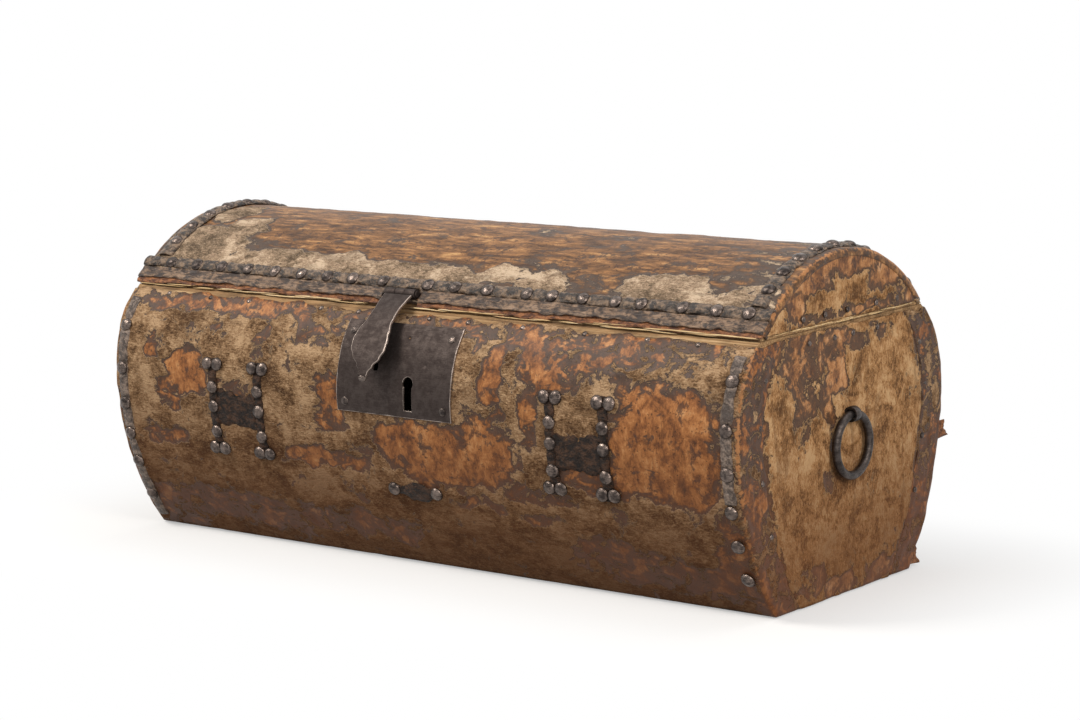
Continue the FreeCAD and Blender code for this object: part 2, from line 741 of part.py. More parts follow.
STAVES = (
    ("lower", "lower_radius", "hide_thickness", STAVE_JOINT),
    ("middle", "lower_radius", STAVE_JOINT, "widest_height"),
    ("upper", "upper_radius", "widest_height", "seam_height"),
)
BODY_HOLES = {
    ("front", "lower"): ("body_edge_nails", ),
    ("front", "middle"): ("body_edge_nails", "keeper_nails", "tab_nails", "body_iron_nails"),
    ("front", "upper"): ("body_edge_nails", "keeper_nails", "body_tacks", "body_iron_nails"),
    ("back", "lower"): ("body_edge_nails", ),
    ("back", "middle"): ("body_edge_nails", ),
    ("back", "upper"): ("body_edge_nails", "body_tacks", "body_iron_nails"),
}
for side_name, side in SIDES:
    for level, radius, low, high in STAVES:
        name = "%s_%s_stave" % (side_name, level)
        stave = slab(name + "_blank", "0", WOOD_LENGTH,
                     one_arc_strip(side, radius, low, high, "hide_thickness", WOOD_INSET))
        if side_name == "front" and level != "lower":
            case_window(stave)
        keep(drill(stave, name, [holes[group] for group in BODY_HOLES[side_name, level]]), name)


# Hide of the body: a sheet over each side, folded onto the ends, and a panel on each end
def folded_hide(name, side):
    body = slab(name + "_blank", "0", "overall_length",
                body_strip(side, "0", BODY_HIDE_HIGH, "0", "hide_thickness"))
    for end_name, end in ENDS:
        pad(body, "YZ_Plane", "%d * %s" % (end, END_HIDE_PLACE), "hide_thickness",
            fold_strip(side, "0", BODY_HIDE_HIGH))
    return body


front_hide = folded_hide("front_hide", -1)
case_window(front_hide)
front_groups = ("body_edge_nails", "keeper_nails", "tab_nails", "body_tacks", "body_iron_nails")
keep(drill(front_hide, "front_hide", [holes[group] for group in front_groups]), "front_hide")
back_hide = folded_hide("back_hide", 1)
back_groups = ("body_edge_nails", "body_tacks", "body_iron_nails")
keep(drill(back_hide, "back_hide", [holes[group] for group in back_groups]), "back_hide")

for end_name, end in ENDS:
    name = "end_hide_" + end_name
    panel = slab(name + "_blank", "%d * %s" % (end, END_HIDE_PLACE), "hide_thickness",
                 end_panel("0", BODY_HIDE_HIGH))
    pocket(panel, "YZ_Plane", "%d * %s" % (end, END_HIDE_PLACE), "4 * hide_thickness",
           rectangle("(-ring_eye_width / 2)", "(ring_eye_width / 2)",
                     "(ring_eye_height - staple_leg_thickness / 2)",
                     "(ring_eye_height + staple_leg_thickness / 2)"))
    keep(drill(panel, name, (holes["body_tacks"],)), name)


# Leather strips, strap keepers and the scrap of a strap
for side_name, side in SIDES:
    name = side_name + "_edge_strips"
    pair = [slab("%s_%s_blank" % (name, end_name), "%d * (overall_length / 2 - edge_trim_margin)" % end,
                 "edge_trim_width",
                 body_strip(side, "edge_trim_margin", "(seam_height - edge_trim_margin)", TRIM_FACE, "0"))
            for end_name, end in ENDS]
    keep(drill(join("Fuse", name + "_pair", *pair), name, (holes["body_edge_nails"],)), name)


def keeper_strip(middle, height, row):
    low, high = "(%s - keeper_half_height)" % height, "(%s + keeper_half_height)" % height
    return slab("keeper_strip", "(%s + %d * keeper_pitch / 2)" % (middle, row), "keeper_strip_width",
                body_strip(-1, low, high, TRIM_FACE, "0"))


def keeper_patch(middle):
    low = "(keeper_patch_height - keeper_patch_half_height)"
    high = "(keeper_patch_height + keeper_patch_half_height)"
    return slab("keeper_patch", middle, "(keeper_pitch - keeper_strip_width)",
                one_arc_strip(-1, "lower_radius", low, high, TRIM_FACE, "0"))


strips = [keeper_strip(*keeper, row) for keeper in KEEPERS for row in (-1, 1)]
strips = join("Fuse", "keeper_strips_all", join("Fuse", "keeper_strips_left", *strips[:2]),
              join("Fuse", "keeper_strips_right", *strips[2:]))
keep(drill(strips, "keeper_strips", (holes["keeper_nails"],)), "keeper_strips")
keep(join("Fuse", "keeper_patches_pair", *[keeper_patch(middle) for middle, height in KEEPERS]),
     "keeper_patches")

tab = slab("strap_scrap_blank", "tab_place", "tab_length",
           one_arc_strip(-1, "lower_radius", "(tab_height - tab_width / 2)", "(tab_height + tab_width / 2)",
                         TRIM_FACE, "0"))
keep(drill(tab, "strap_scrap", (holes["tab_nails"],)), "strap_scrap")


# Lock plate, with its keyhole and the slot for the hasp's tongue
plate = slab("lock_plate_blank", LOCK_X, "lock_plate_width",
             body_strip(-1, "lock_plate_low", "lock_plate_high", PLATE_INSET, "0"))
FRONT_CUT = ("XZ_Plane", "(-widest_half_depth)", "(2 * (widest_half_depth - case_back))")
pocket(plate, *FRONT_CUT, rectangle("(%s - slot_width / 2)" % HASP_X, "(%s + slot_width / 2)" % HASP_X,
                                    "(bolt_height - tongue_height / 2 - slot_clearance)",
                                    "(bolt_height + tongue_height / 2 + slot_rise + slot_clearance)"))
pocket(plate, *FRONT_CUT, rectangle("(keyhole_place - keyhole_slot_width / 2)",
                                    "(keyhole_place + keyhole_slot_width / 2)",
                                    "(keyhole_height - keyhole_drop)", "keyhole_height"))
round_part = draw_circle(plate, *FRONT_CUT[:2], ("keyhole_place", "keyhole_height"), "keyhole_radius")
extrude(plate, "Pocket", round_part, FRONT_CUT[2])
keep(drill(plate, "lock_plate", (holes["body_iron_nails"],)), "lock_plate")


# Lock case: an iron box behind the plate, open towards it, with two guides for the bolt
def case_outline(shrink):
    """The case's section, from its arc behind the plate to its flat back."""
    low, high = "(case_low + %s)" % shrink, "(case_high - %s)" % shrink
    lower = (arc_centre(-1, "lower_radius"), "widest_height", "lower_radius")
    upper = (arc_centre(-1, "upper_radius"), "widest_height", "upper_radius")
    back = "(-case_back - %s)" % shrink
    return (
        (lower_face(-1, low, "0"), low, *lower),
        (lower_face(-1, "widest_height", "0"), "widest_height", *upper),
        (upper_face(-1, high, "0"), high),
        (back, high), (back, low),
    )


BOLT_RIGHT = "(%s + tongue_thickness / 2 + bolt_stand_off + bolt_length)" % HASP_X
BOLT_LEFT = "(%s + tongue_thickness / 2 + bolt_stand_off)" % HASP_X
BOLT_MIDDLE = "((%s + %s) / 2)" % (BOLT_LEFT, BOLT_RIGHT)
CASE_BACK_FACE = "(-case_back - case_wall)"
case = slab("lock_case_blank", LOCK_X, "case_width", case_outline("0"))
pocket(case, "YZ_Plane", LOCK_X, "(case_width - 2 * case_wall)", case_outline("case_wall"))
pocket(case, "YZ_Plane", LOCK_X, "(case_width - 2 * case_wall)",
       rectangle("(-widest_half_depth - overrun)", CASE_BACK_FACE,
                 "(case_low + case_wall)", "(case_high - case_wall)"))
for place in ("(%s + guide_inset)" % BOLT_LEFT, "(%s - bolt_throw - guide_inset)" % BOLT_RIGHT):
    pad(case, "YZ_Plane", place, "case_wall",
        rectangle("(%s + bolt_play)" % BOLT_Y, "(-case_back)",
                  "(bolt_height - guide_width / 2)", "(bolt_height + guide_width / 2)"))
pocket(case, "YZ_Plane", BOLT_MIDDLE, "bolt_length",
       rectangle("(-widest_half_depth)", "(%s + bolt_thickness / 2 + bolt_play)" % BOLT_Y,
                 "(bolt_height - bolt_width / 2 - bolt_play)",
                 "(bolt_height + bolt_width / 2 + bolt_play)"))
keep(drill(case, "lock_case", (holes["body_iron_nails"],)), "lock_case")

bolt = slab("lock_bolt_blank", BOLT_MIDDLE, "bolt_length",
            rectangle("(%s - bolt_thickness / 2)" % BOLT_Y, "(%s + bolt_thickness / 2)" % BOLT_Y,
                      "(bolt_height - bolt_width / 2)", "(bolt_height + bolt_width / 2)"))
keep(bolt, "lock_bolt")


# Leaf spring behind the bolt, its ends on the back of the case between the guides
SPRING_MIDDLE = "((%s + %s - bolt_throw) / 2)" % (BOLT_LEFT, BOLT_RIGHT)
SPRING_DIP = "(%s - %s - bolt_thickness / 2 - bolt_play)" % (CASE_BACK_FACE, BOLT_Y)
SPRING_RADIUS = "(((spring_span / 2)^2 + %s^2) / (2 * %s))" % (SPRING_DIP, SPRING_DIP)
SPRING_CENTRE = "(%s - %s + %s)" % (CASE_BACK_FACE, SPRING_DIP, SPRING_RADIUS)
SPRING_INNER = "(%s - spring_thickness)" % SPRING_RADIUS
SPRING_INNER_HALF = "sqrt(%s^2 - (%s - %s)^2)" % (SPRING_INNER, SPRING_CENTRE, CASE_BACK_FACE)
spring = new_body("bolt_spring_blank")
pad(spring, "XY_Plane", "bolt_height", "spring_width", (
    ("(%s - spring_span / 2)" % SPRING_MIDDLE, CASE_BACK_FACE,
     SPRING_MIDDLE, SPRING_CENTRE, SPRING_RADIUS),
    ("(%s + spring_span / 2)" % SPRING_MIDDLE, CASE_BACK_FACE),
    ("(%s + %s)" % (SPRING_MIDDLE, SPRING_INNER_HALF), CASE_BACK_FACE,
     SPRING_MIDDLE, SPRING_CENTRE, SPRING_INNER),
    ("(%s - %s)" % (SPRING_MIDDLE, SPRING_INNER_HALF), CASE_BACK_FACE),
))
keep(spring, "bolt_spring")


# Carrying rings and the staples that hold them
CLINCH_PLACE = "(%s - staple_clinch_thickness)" % BOARD_INNER
for end_name, end in ENDS:
    eye = "(%d * %s)" % (end, EYE_PLACE)
    ring = doc.addObject("Part::Torus", "ring_" + end_name)
    bind(ring, "Radius1", "ring_radius")
    bind(ring, "Radius2", "ring_wire_radius")
    ring.Placement.Rotation = FreeCAD.Rotation(FreeCAD.Vector(0, 1, 0), 90)
    bind(ring, "Placement.Base.x", eye)
    bind(ring, "Placement.Base.z", "ring_eye_height - ring_radius")
    keep(ring, "ring_" + end_name)

    staple = new_body("ring_staple_" + end_name)
    outer = draw_circle(staple, "XZ_Plane", "0", (eye, "ring_eye_height"), EYE_OUTER)
    extrude(staple, "Pad", outer, "ring_eye_width")
    leg = ("(ring_eye_height - staple_leg_thickness / 2)", "(ring_eye_height + staple_leg_thickness / 2)")
    pad(staple, "XZ_Plane", "0", "ring_eye_width",
        rectangle(*from_middle(end, CLINCH_PLACE, EYE_PLACE), *leg))
    pad(staple, "XZ_Plane", "0", "ring_eye_width",
        rectangle(*from_middle(end, CLINCH_PLACE, BOARD_INNER),
                  "(ring_eye_height - staple_clinch_length)", "(ring_eye_height + staple_clinch_length)"))
    inner = draw_circle(staple, "XZ_Plane", "0", (eye, "ring_eye_height"), EYE_INNER)
    extrude(staple, "Pocket", inner, "(2 * ring_eye_width)")
    keep(staple, "ring_staple_" + end_name)


# Boards of the lid
for end_name, end in ENDS:
    name = "lid_end_board_" + end_name
    centre = ("0", LID_CENTRE, "lid_radius - %s" % WOOD_INSET)
    board = slab(name + "_blank", "%d * %s" % (end, END_BOARD_PLACE), "end_board_thickness", (
        (lid_y(-1, LID_LOW, WOOD_INSET), LID_LOW, *centre),
        lid_point(1, "90 deg", WOOD_INSET) + centre,
        (lid_y(1, LID_LOW, WOOD_INSET), LID_LOW),
    ))
    keep(drill(board, name, (holes["lid_end_tacks"], holes["lid_arch_nails"])), name)


def lid_stave(name, first, last):
    """A board of the lid between two shares of its half angle, or down to the seam."""
    outer_arc = ("0", LID_CENTRE, "lid_radius - hide_thickness")
    inner_arc = ("0", LID_CENTRE, "lid_radius - %s" % WOOD_INSET)
    corners = []
    if first == LID_STAVE_SHARES[0]:
        corners.append((lid_y(-1, LID_LOW, "hide_thickness"), LID_LOW, *outer_arc))
    else:
        corners.append((*lid_point(-1, arch_angle(first), "hide_thickness"), *outer_arc))
    if last == LID_STAVE_SHARES[-1]:
        corners.append((lid_y(1, LID_LOW, "hide_thickness"), LID_LOW))
        corners.append((lid_y(1, LID_LOW, WOOD_INSET), LID_LOW, *inner_arc))
    else:
        corners.append(lid_point(-1, arch_angle(last), "hide_thickness"))
        corners.append((*lid_point(-1, arch_angle(last), WOOD_INSET), *inner_arc))
    if first == LID_STAVE_SHARES[0]:
        corners.append((lid_y(-1, LID_LOW, WOOD_INSET), LID_LOW))
    else:
        corners.append(lid_point(-1, arch_angle(first), WOOD_INSET))
    return slab(name + "_blank", "0", WOOD_LENGTH, corners)


# Hinge leaf of the hasp: let into the front stave under the hide, with its web out to the barrel
LEAF_LOW = "(%s - (hasp_web_width / 2) / lid_radius * 1 rad)" % HASP_ANGLE
LEAF_HIGH = "(%s + hasp_leaf_height / lid_radius * 1 rad)" % HASP_ANGLE
LEAF_INNER = "(hide_thickness + iron_sheet)"


def leaf_recess(body, depth):
    pocket(body, "YZ_Plane", HASP_X, depth,
           lid_strip(-1, LEAF_LOW, -1, LEAF_HIGH, "hide_thickness", LEAF_INNER))


LID_STAVES = (
    "lid_front_stave", "lid_front_top_stave", "lid_top_stave", "lid_back_top_stave", "lid_back_stave",
)
LID_HOLES = {
    "lid_front_stave": ("lid_edge_nails", "lid_arch_nails"),
    "lid_back_stave": ("lid_edge_nails", "lid_arch_nails", "lid_iron_nails"),
}
for number, name in enumerate(LID_STAVES):
    stave = lid_stave(name, LID_STAVE_SHARES[number], LID_STAVE_SHARES[number + 1])
    if name == "lid_front_stave":
        leaf_recess(stave, "hasp_knuckle_width")
    groups = LID_HOLES.get(name, ("lid_arch_nails",))
    keep(drill(stave, name, [holes[group] for group in groups]), name)


# Hide of the lid, folded onto the ends, with a notch for the hasp's barrel
HIDE_ANGLE = "(asin((%s - %s) / lid_radius))" % (HIDE_LOW, LID_CENTRE)
NOTCH_ANGLE = "(%s + (hasp_barrel_radius + hasp_gap) / lid_radius * 1 rad)" % HASP_ANGLE
NOTCH_WIDTH = "(hasp_knuckle_width + 2 * (pin_head_thickness + hasp_gap))"


def barrel_notch(body, depth):
    pocket(body, "YZ_Plane", HASP_X, NOTCH_WIDTH,
           lid_strip(-1, SEAM_ANGLE, -1, NOTCH_ANGLE, "-(%s)" % depth, "hide_thickness"))


lid_hide = slab("lid_hide_blank", "0", "overall_length",
                lid_strip(-1, HIDE_ANGLE, 1, HIDE_ANGLE, "0", "hide_thickness"))
for end_name, end in ENDS:
    pad(lid_hide, "YZ_Plane", "%d * %s" % (end, END_HIDE_PLACE), "hide_thickness", (
        (lid_y(-1, END_HIDE_LOW, "0"), END_HIDE_LOW, "0", LID_CENTRE, "lid_radius"),
        (lid_y(1, END_HIDE_LOW, "0"), END_HIDE_LOW),
        (lid_y(1, END_HIDE_LOW, "lid_fold_width"), END_HIDE_LOW,
         "0", LID_CENTRE, "lid_radius - lid_fold_width"),
        (lid_y(-1, END_HIDE_LOW, "lid_fold_width"), END_HIDE_LOW),
    ))
barrel_notch(lid_hide, "overrun")
lid_groups = ("lid_edge_nails", "lid_arch_nails", "lid_iron_nails", "lid_end_tacks")
keep(drill(lid_hide, "lid_hide", [holes[group] for group in lid_groups]), "lid_hide")

for end_name, end in ENDS:
    name = "lid_end_hide_" + end_name
    centre = ("0", LID_CENTRE, "lid_radius - lid_fold_width")
    inner = "lid_fold_width"
    panel = slab(name + "_blank", "%d * %s" % (end, END_HIDE_PLACE), "hide_thickness", (
        (lid_y(-1, END_HIDE_LOW, inner), END_HIDE_LOW, *centre),
        lid_point(1, "90 deg", inner) + centre,
        (lid_y(1, END_HIDE_LOW, inner), END_HIDE_LOW),
    ))
    keep(drill(panel, name, (holes["lid_end_tacks"],)), name)


# Leather strips of the lid, cut away for the barrel and for the hinges' leaves
TRIM_LOW = lid_angle("lid_trim_start")
TRIM_HIGH = lid_angle("(lid_trim_start + lid_trim_width)")
HINGE_LEAF_HIGH = lid_angle("hinge_leaf_rise")
for side_name, side in SIDES:
    name = "lid_%s_strip" % side_name
    strip = slab(name + "_blank", "0", "overall_length",
                 lid_strip(side, TRIM_LOW, side, TRIM_HIGH, TRIM_FACE, "0"))
    if side == -1:
        barrel_notch(strip, "overrun")
    else:
        for end in (-1, 1):
            pocket(strip, "YZ_Plane", "%d * hinge_place" % end, "hinge_width",
                   lid_strip(side, SEAM_ANGLE, side, HINGE_LEAF_HIGH, "-overrun", "0"))
    keep(drill(strip, name, (holes["lid_edge_nails"],)), name)
for end_name, end in ENDS:
    name = "lid_arch_strip_" + end_name
    strip = slab(name + "_blank", "%d * (overall_length / 2 - arch_trim_width)" % end, "arch_trim_width",
                 lid_strip(-1, TRIM_HIGH, 1, TRIM_HIGH, TRIM_FACE, "0"))
    keep(drill(strip, name, (holes["lid_arch_nails"],)), name)


# Knuckles share a barrel: each body takes every second part of it
def barrel_part(body, middle, width, centre, radius):
    sketch = draw_circle(body, "YZ_Plane", middle, centre, radius)
    return extrude(body, "Pad", sketch, width)


def bore(body, middle, width, centre, radius):
    sketch = draw_circle(body, "YZ_Plane", middle, centre, radius)
    return extrude(body, "Pocket", sketch, width)


def knuckle_spans(middle, width, parts, gap):
    """Middle and width of each part of a barrel, left to right."""
    step = "((%s) / %d)" % (width, parts)
    spans = []
    for number in range(parts):
        place = "(%s + (%s) * %s)" % (middle, number - (parts - 1) / 2, step)
        spans.append((place, "(%s - %s)" % (step, gap)))
    return spans


# The hasp's hinge: two outer parts on the lid's leaf, the middle one on the hasp
HASP_AXIS = (HASP_Y, "hasp_axis_height")
hasp_spans = knuckle_spans(HASP_X, "hasp_knuckle_width", 3, "hasp_gap")
leaf = slab("hasp_leaf_blank", HASP_X, "hasp_knuckle_width",
            lid_strip(-1, LEAF_LOW, -1, LEAF_HIGH, "hide_thickness", LEAF_INNER))
WEB_HIGH = "(%s + (hasp_web_width / 2) / lid_radius * 1 rad)" % HASP_ANGLE
for number in (0, 2):
    middle, width = hasp_spans[number]
    pad(leaf, "YZ_Plane", middle, width,
        lid_strip(-1, LEAF_LOW, -1, WEB_HIGH, "(lid_radius - %s)" % HASP_RADIUS, LEAF_INNER))
    barrel_part(leaf, middle, width, HASP_AXIS, "hasp_barrel_radius")
bore(leaf, HASP_X, "(2 * hasp_knuckle_width)", HASP_AXIS, "(hasp_pin_radius + pin_clearance)")
keep(leaf, "hasp_leaf")

pin = new_body("hasp_pin_blank")
barrel_part(pin, HASP_X, "hasp_knuckle_width", HASP_AXIS, "hasp_pin_radius")
for step in (-1, 1):
    place = "(%s + %d * (hasp_knuckle_width + pin_head_thickness) / 2)" % (HASP_X, step)
    barrel_part(pin, place, "pin_head_thickness", HASP_AXIS, "pin_head_radius")
keep(pin, "hasp_pin")


# The hasp, drawn shut about its pin's axis and then swung out
BLADE_INNER = "(-iron_sheet - hasp_gap)"
BLADE_OUTER = "(-iron_sheet - hasp_gap - hasp_thickness)"
BLADE_MIDDLE = "(-iron_sheet - hasp_gap - hasp_thickness / 2)"
HASP_LOW = "(hasp_axis_height - hasp_drop)"


def from_axis(corners):
    """The same outline, measured from the axis of the hasp's pin."""
    moved_corners = []
    for across, up, *arc in corners:
        moved_corner = ["(%s - %s)" % (across, HASP_Y), "(%s - hasp_axis_height)" % up]
        if arc:
            moved_corner += ["(%s - %s)" % (arc[0], HASP_Y), "(%s - hasp_axis_height)" % arc[1], arc[2]]
        moved_corners.append(tuple(moved_corner))
    return moved_corners


def edge_of_hasp(side):
    return [("(%d * hasp_width / 2 * %s)" % (side, wide), "(-hasp_drop * %s)" % drop)
            for drop, wide in HASP_OUTLINE_SHARES]


blade = slab("hasp_blade_section", "0", "hasp_width", from_axis(
    one_arc_strip(-1, "upper_radius", HASP_LOW, "hasp_axis_height", BLADE_OUTER, BLADE_INNER)))
outline = new_body("hasp_blade_outline")
pad(outline, "XZ_Plane", "0", "(4 * hasp_drop)", edge_of_hasp(-1) + edge_of_hasp(1)[::-1])
blade = join("Common", "hasp_blade", blade, outline)

fittings = new_body("hasp_fittings")
middle, width = hasp_spans[1]
barrel_part(fittings, "0", width, ("0", "0"), "hasp_barrel_radius")
TONGUE_LOW = "(bolt_height - tongue_height / 2)"
TONGUE_HIGH = "(bolt_height + tongue_height / 2)"
pad(fittings, "YZ_Plane", "0", "tongue_thickness",
    from_axis(one_arc_strip(-1, "upper_radius", TONGUE_LOW, TONGUE_HIGH, BLADE_MIDDLE, "tongue_depth")))
pocket(fittings, "YZ_Plane", "0", "(2 * tongue_thickness)",
       from_axis(one_arc_strip(-1, "upper_radius", "(%s + tongue_wall)" % TONGUE_LOW,
                               "(%s - tongue_wall)" % TONGUE_HIGH, "(%s + tongue_wall)" % BLADE_MIDDLE,
                               "(tongue_depth - tongue_wall)")))
TIP_Y = "(%s - %s)" % (upper_face(-1, HASP_LOW, BLADE_OUTER), HASP_Y)
barrel_part(fittings, "0", "hasp_curl_width", (TIP_Y, "(-hasp_drop)"), "hasp_curl_radius")
whole = join("Fuse", "hasp_whole", blade, fittings)
side_gaps = new_body("hasp_side_gaps")
for number in (0, 2):
    place, width = hasp_spans[number]
    barrel_part(side_gaps, "(%s - %s)" % (place, HASP_X), "(%s + 2 * hasp_gap)" % width, ("0", "0"),
                "(hasp_barrel_radius + hasp_gap)")
barrel_part(side_gaps, "0", "hasp_knuckle_width", ("0", "0"), "(hasp_pin_radius + pin_clearance)")
hasp = join("Cut", "hasp_swung", whole, side_gaps)
bind(hasp, "Placement.Base.x", HASP_X)
bind(hasp, "Placement.Base.y", HASP_Y)
bind(hasp, "Placement.Base.z", "hasp_axis_height")
hasp.Placement.Rotation = FreeCAD.Rotation(FreeCAD.Vector(-1, 0, 0), 1)
bind(hasp, "Placement.Rotation.Angle", "hasp_swing * 1 deg")
keep(hasp, "hasp")


# Hinges at the back: a leaf down the body, a leaf up the lid and a pin through five parts of a barrel
HINGE_Y = "(%s + hinge_offset)" % SEAM_HALF_DEPTH
HINGE_AXIS = (HINGE_Y, "seam_height")
LEAF_TOP = "(seam_height - hinge_leaf_start)"
WEB_STEP = "(hinge_barrel_radius * %s)" % WEB_SHARE
WEB_BEND = lid_angle("(lid_bare_height + 2 * iron_sheet)")
hinge_pins = []
for end_name, end in ENDS:
    place = "(%d * hinge_place)" % end
    spans = knuckle_spans(place, "hinge_width", 5, "hinge_gap")

    name = "hinge_body_leaf_" + end_name
    down = slab(name + "_blank", place, "hinge_width",
                one_arc_strip(1, "upper_radius", "(seam_height - hinge_leaf_drop)", LEAF_TOP,
                              PLATE_INSET, "0"))
    for number in (0, 2, 4):
        middle, width = spans[number]
        centre = (arc_centre(1, "upper_radius"), "widest_height")
        pad(down, "YZ_Plane", middle, width, (
            (upper_face(1, "(%s - iron_sheet)" % LEAF_TOP, "0"), "(%s - iron_sheet)" % LEAF_TOP,
             *centre, "upper_radius"),
            (upper_face(1, "(seam_height - hinge_web_height)", "0"), "(seam_height - hinge_web_height)"),
            HINGE_AXIS,
            ("(%s + %s)" % (HINGE_Y, WEB_STEP), "(seam_height - %s)" % WEB_STEP),
            (upper_face(1, "(%s - iron_sheet)" % LEAF_TOP, PLATE_INSET), "(%s - iron_sheet)" % LEAF_TOP),
        ))
        barrel_part(down, middle, width, HINGE_AXIS, "hinge_barrel_radius")
    bore(down, place, "(2 * hinge_width)", HINGE_AXIS, "(hinge_pin_radius + pin_clearance)")
    keep(drill(down, name, (holes["body_iron_nails"],)), name)

    LEAF_FOOT = lid_angle("(lid_bare_height + hinge_gap)")
    name = "hinge_lid_leaf_" + end_name
    up = slab(name + "_blank", place, "hinge_width",
              lid_strip(1, LEAF_FOOT, 1, HINGE_LEAF_HIGH, PLATE_INSET, "0"))
    for number in (1, 3):
        middle, width = spans[number]
        pad(up, "YZ_Plane", middle, width, (
            (*lid_point(1, WEB_BEND, "0"), "0", LID_CENTRE, "lid_radius"),
            lid_point(1, LEAF_FOOT, "0"),
            (HINGE_Y, "seam_height"),
            ("(%s + %s)" % (HINGE_Y, WEB_STEP), "(seam_height + %s)" % WEB_STEP),
            lid_point(1, WEB_BEND, PLATE_INSET),
        ))
        barrel_part(up, middle, width, HINGE_AXIS, "hinge_barrel_radius")
    bore(up, place, "(2 * hinge_width)", HINGE_AXIS, "(hinge_pin_radius + pin_clearance)")
    keep(drill(up, name, (holes["lid_iron_nails"],)), name)

    pin = new_body("hinge_pin_%s_blank" % end_name)
    barrel_part(pin, place, "hinge_width", HINGE_AXIS, "hinge_pin_radius")
    for step in (-1, 1):
        head = "(%s + %d * (hinge_width + pin_head_thickness) / 2)" % (place, step)
        barrel_part(pin, head, "pin_head_thickness", HINGE_AXIS, "pin_head_radius")
    hinge_pins.append(pin)
keep(join("Fuse", "hinge_pins_pair", *hinge_pins), "hinge_pins")


# Check every object, then write each sub-part under its own name
doc.recompute()
for thing in doc.Objects:
    if "Invalid" in thing.State or "Error" in thing.State:
        raise RuntimeError("%s (%s) did not build: %s" % (thing.Name, thing.Label, thing.State))
os.makedirs("parts", exist_ok=True)
for thing in sub_parts:
    if thing.Shape.isNull() or not thing.Shape.isValid() or not thing.Shape.Solids:
        raise RuntimeError(thing.Label + " has no valid shape")
    thing.Shape.exportStep("parts/%s.step" % thing.Label)
    print("%-28s solids %3d  volume %10.1f" % (thing.Label, len(thing.Shape.Solids), thing.Shape.Volume))
print("%d sub-parts" % len(sub_parts))
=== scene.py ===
import math
import random

import bmesh
import bpy
from mathutils import Matrix, Vector, noise


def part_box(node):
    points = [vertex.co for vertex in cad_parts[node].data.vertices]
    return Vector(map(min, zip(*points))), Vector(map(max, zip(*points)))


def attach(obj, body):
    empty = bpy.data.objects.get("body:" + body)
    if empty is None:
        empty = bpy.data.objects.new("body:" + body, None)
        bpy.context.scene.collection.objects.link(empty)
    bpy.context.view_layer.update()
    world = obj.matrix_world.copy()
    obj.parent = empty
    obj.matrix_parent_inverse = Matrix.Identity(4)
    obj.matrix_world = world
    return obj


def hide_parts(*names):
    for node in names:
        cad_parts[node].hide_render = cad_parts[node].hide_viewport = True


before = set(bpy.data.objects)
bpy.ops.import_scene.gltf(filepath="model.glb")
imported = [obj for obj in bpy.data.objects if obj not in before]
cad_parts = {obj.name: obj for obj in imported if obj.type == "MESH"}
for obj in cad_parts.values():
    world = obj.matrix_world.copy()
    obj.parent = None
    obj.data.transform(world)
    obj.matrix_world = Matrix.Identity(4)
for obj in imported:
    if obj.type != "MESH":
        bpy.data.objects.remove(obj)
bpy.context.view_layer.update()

# Sizes are in millimetres until a point is placed, and Blender's own are metres.
MM = 0.001
HALF_LENGTH = 380.0
WIDEST_HEIGHT = 172.0
WIDEST_HALF_DEPTH = 176.0
LOWER_RADIUS = 276.5
UPPER_RADIUS = 109.0
SEAM = 252.0
LID_RADIUS = 180.2
HASP_MIDDLE = -33.0
# The hide: its rounding over the arrises, how far it is folded onto the ends, and its thickness
ARRIS = 4.0
FOLD = 40.0
LID_FOLD = 8.0
HIDE_THICKNESS = 1.8
STRAP_THICKNESS = 1.0


# Camera, as the photograph was taken
def add_camera(lens, yaw, pitch, roll, distance, aim):
    yaw, pitch, roll = (math.radians(angle) for angle in (yaw, pitch, roll))
    back = Vector((math.sin(yaw) * math.cos(pitch), -math.cos(yaw) * math.cos(pitch), math.sin(pitch)))
    right = Vector((0, 0, 1)).cross(back).normalized()
    up = back.cross(right)
    across = right * math.cos(roll) + up * math.sin(roll)
    above = up * math.cos(roll) - right * math.sin(roll)
    data = bpy.data.cameras.new("camera")
    data.sensor_width = 36.0
    data.lens = lens
    data.clip_end = 50.0
    camera = bpy.data.objects.new("camera", data)
    turn = Matrix((across, above, back)).transposed().to_4x4()
    camera.matrix_world = Matrix.Translation((Vector(aim) + back * distance) * MM) @ turn
    bpy.context.collection.objects.link(camera)
    bpy.context.scene.camera = camera


add_camera(lens=101.885, yaw=37.558, pitch=9.192, roll=-1.012, distance=2996.5, aim=(29.63, 0, 187.906))


# The section of the box
def side_radius(height):
    return UPPER_RADIUS if height > WIDEST_HEIGHT else LOWER_RADIUS


def body_y(height, side):
    radius = side_radius(height)
    reach = math.sqrt(radius ** 2 - (height - WIDEST_HEIGHT) ** 2)
    return side * (WIDEST_HALF_DEPTH - radius + reach)


def body_normal(height, side):
    y = body_y(height, side) - side * (WIDEST_HALF_DEPTH - side_radius(height))
    return Vector((0, y, height - WIDEST_HEIGHT)).normalized()


def front_point(x, height, out):
    """A point that stands out of the front by a distance."""
    return Vector((x, body_y(height, -1), height)) + body_normal(height, -1) * out


def iron_y(height, out):
    """Y of sheet iron on the front, which keeps the curve of the upper arc below the widest height too."""
    reach = math.sqrt((UPPER_RADIUS + out) ** 2 - (height - WIDEST_HEIGHT) ** 2)
    return -(WIDEST_HALF_DEPTH - UPPER_RADIUS + reach)


LID_CENTRE = SEAM - math.sqrt(LID_RADIUS ** 2 - body_y(SEAM, 1) ** 2)
SEAM_ANGLE = math.asin((SEAM - LID_CENTRE) / LID_RADIUS)
LID_ARC = LID_RADIUS * (math.pi - 2 * SEAM_ANGLE)


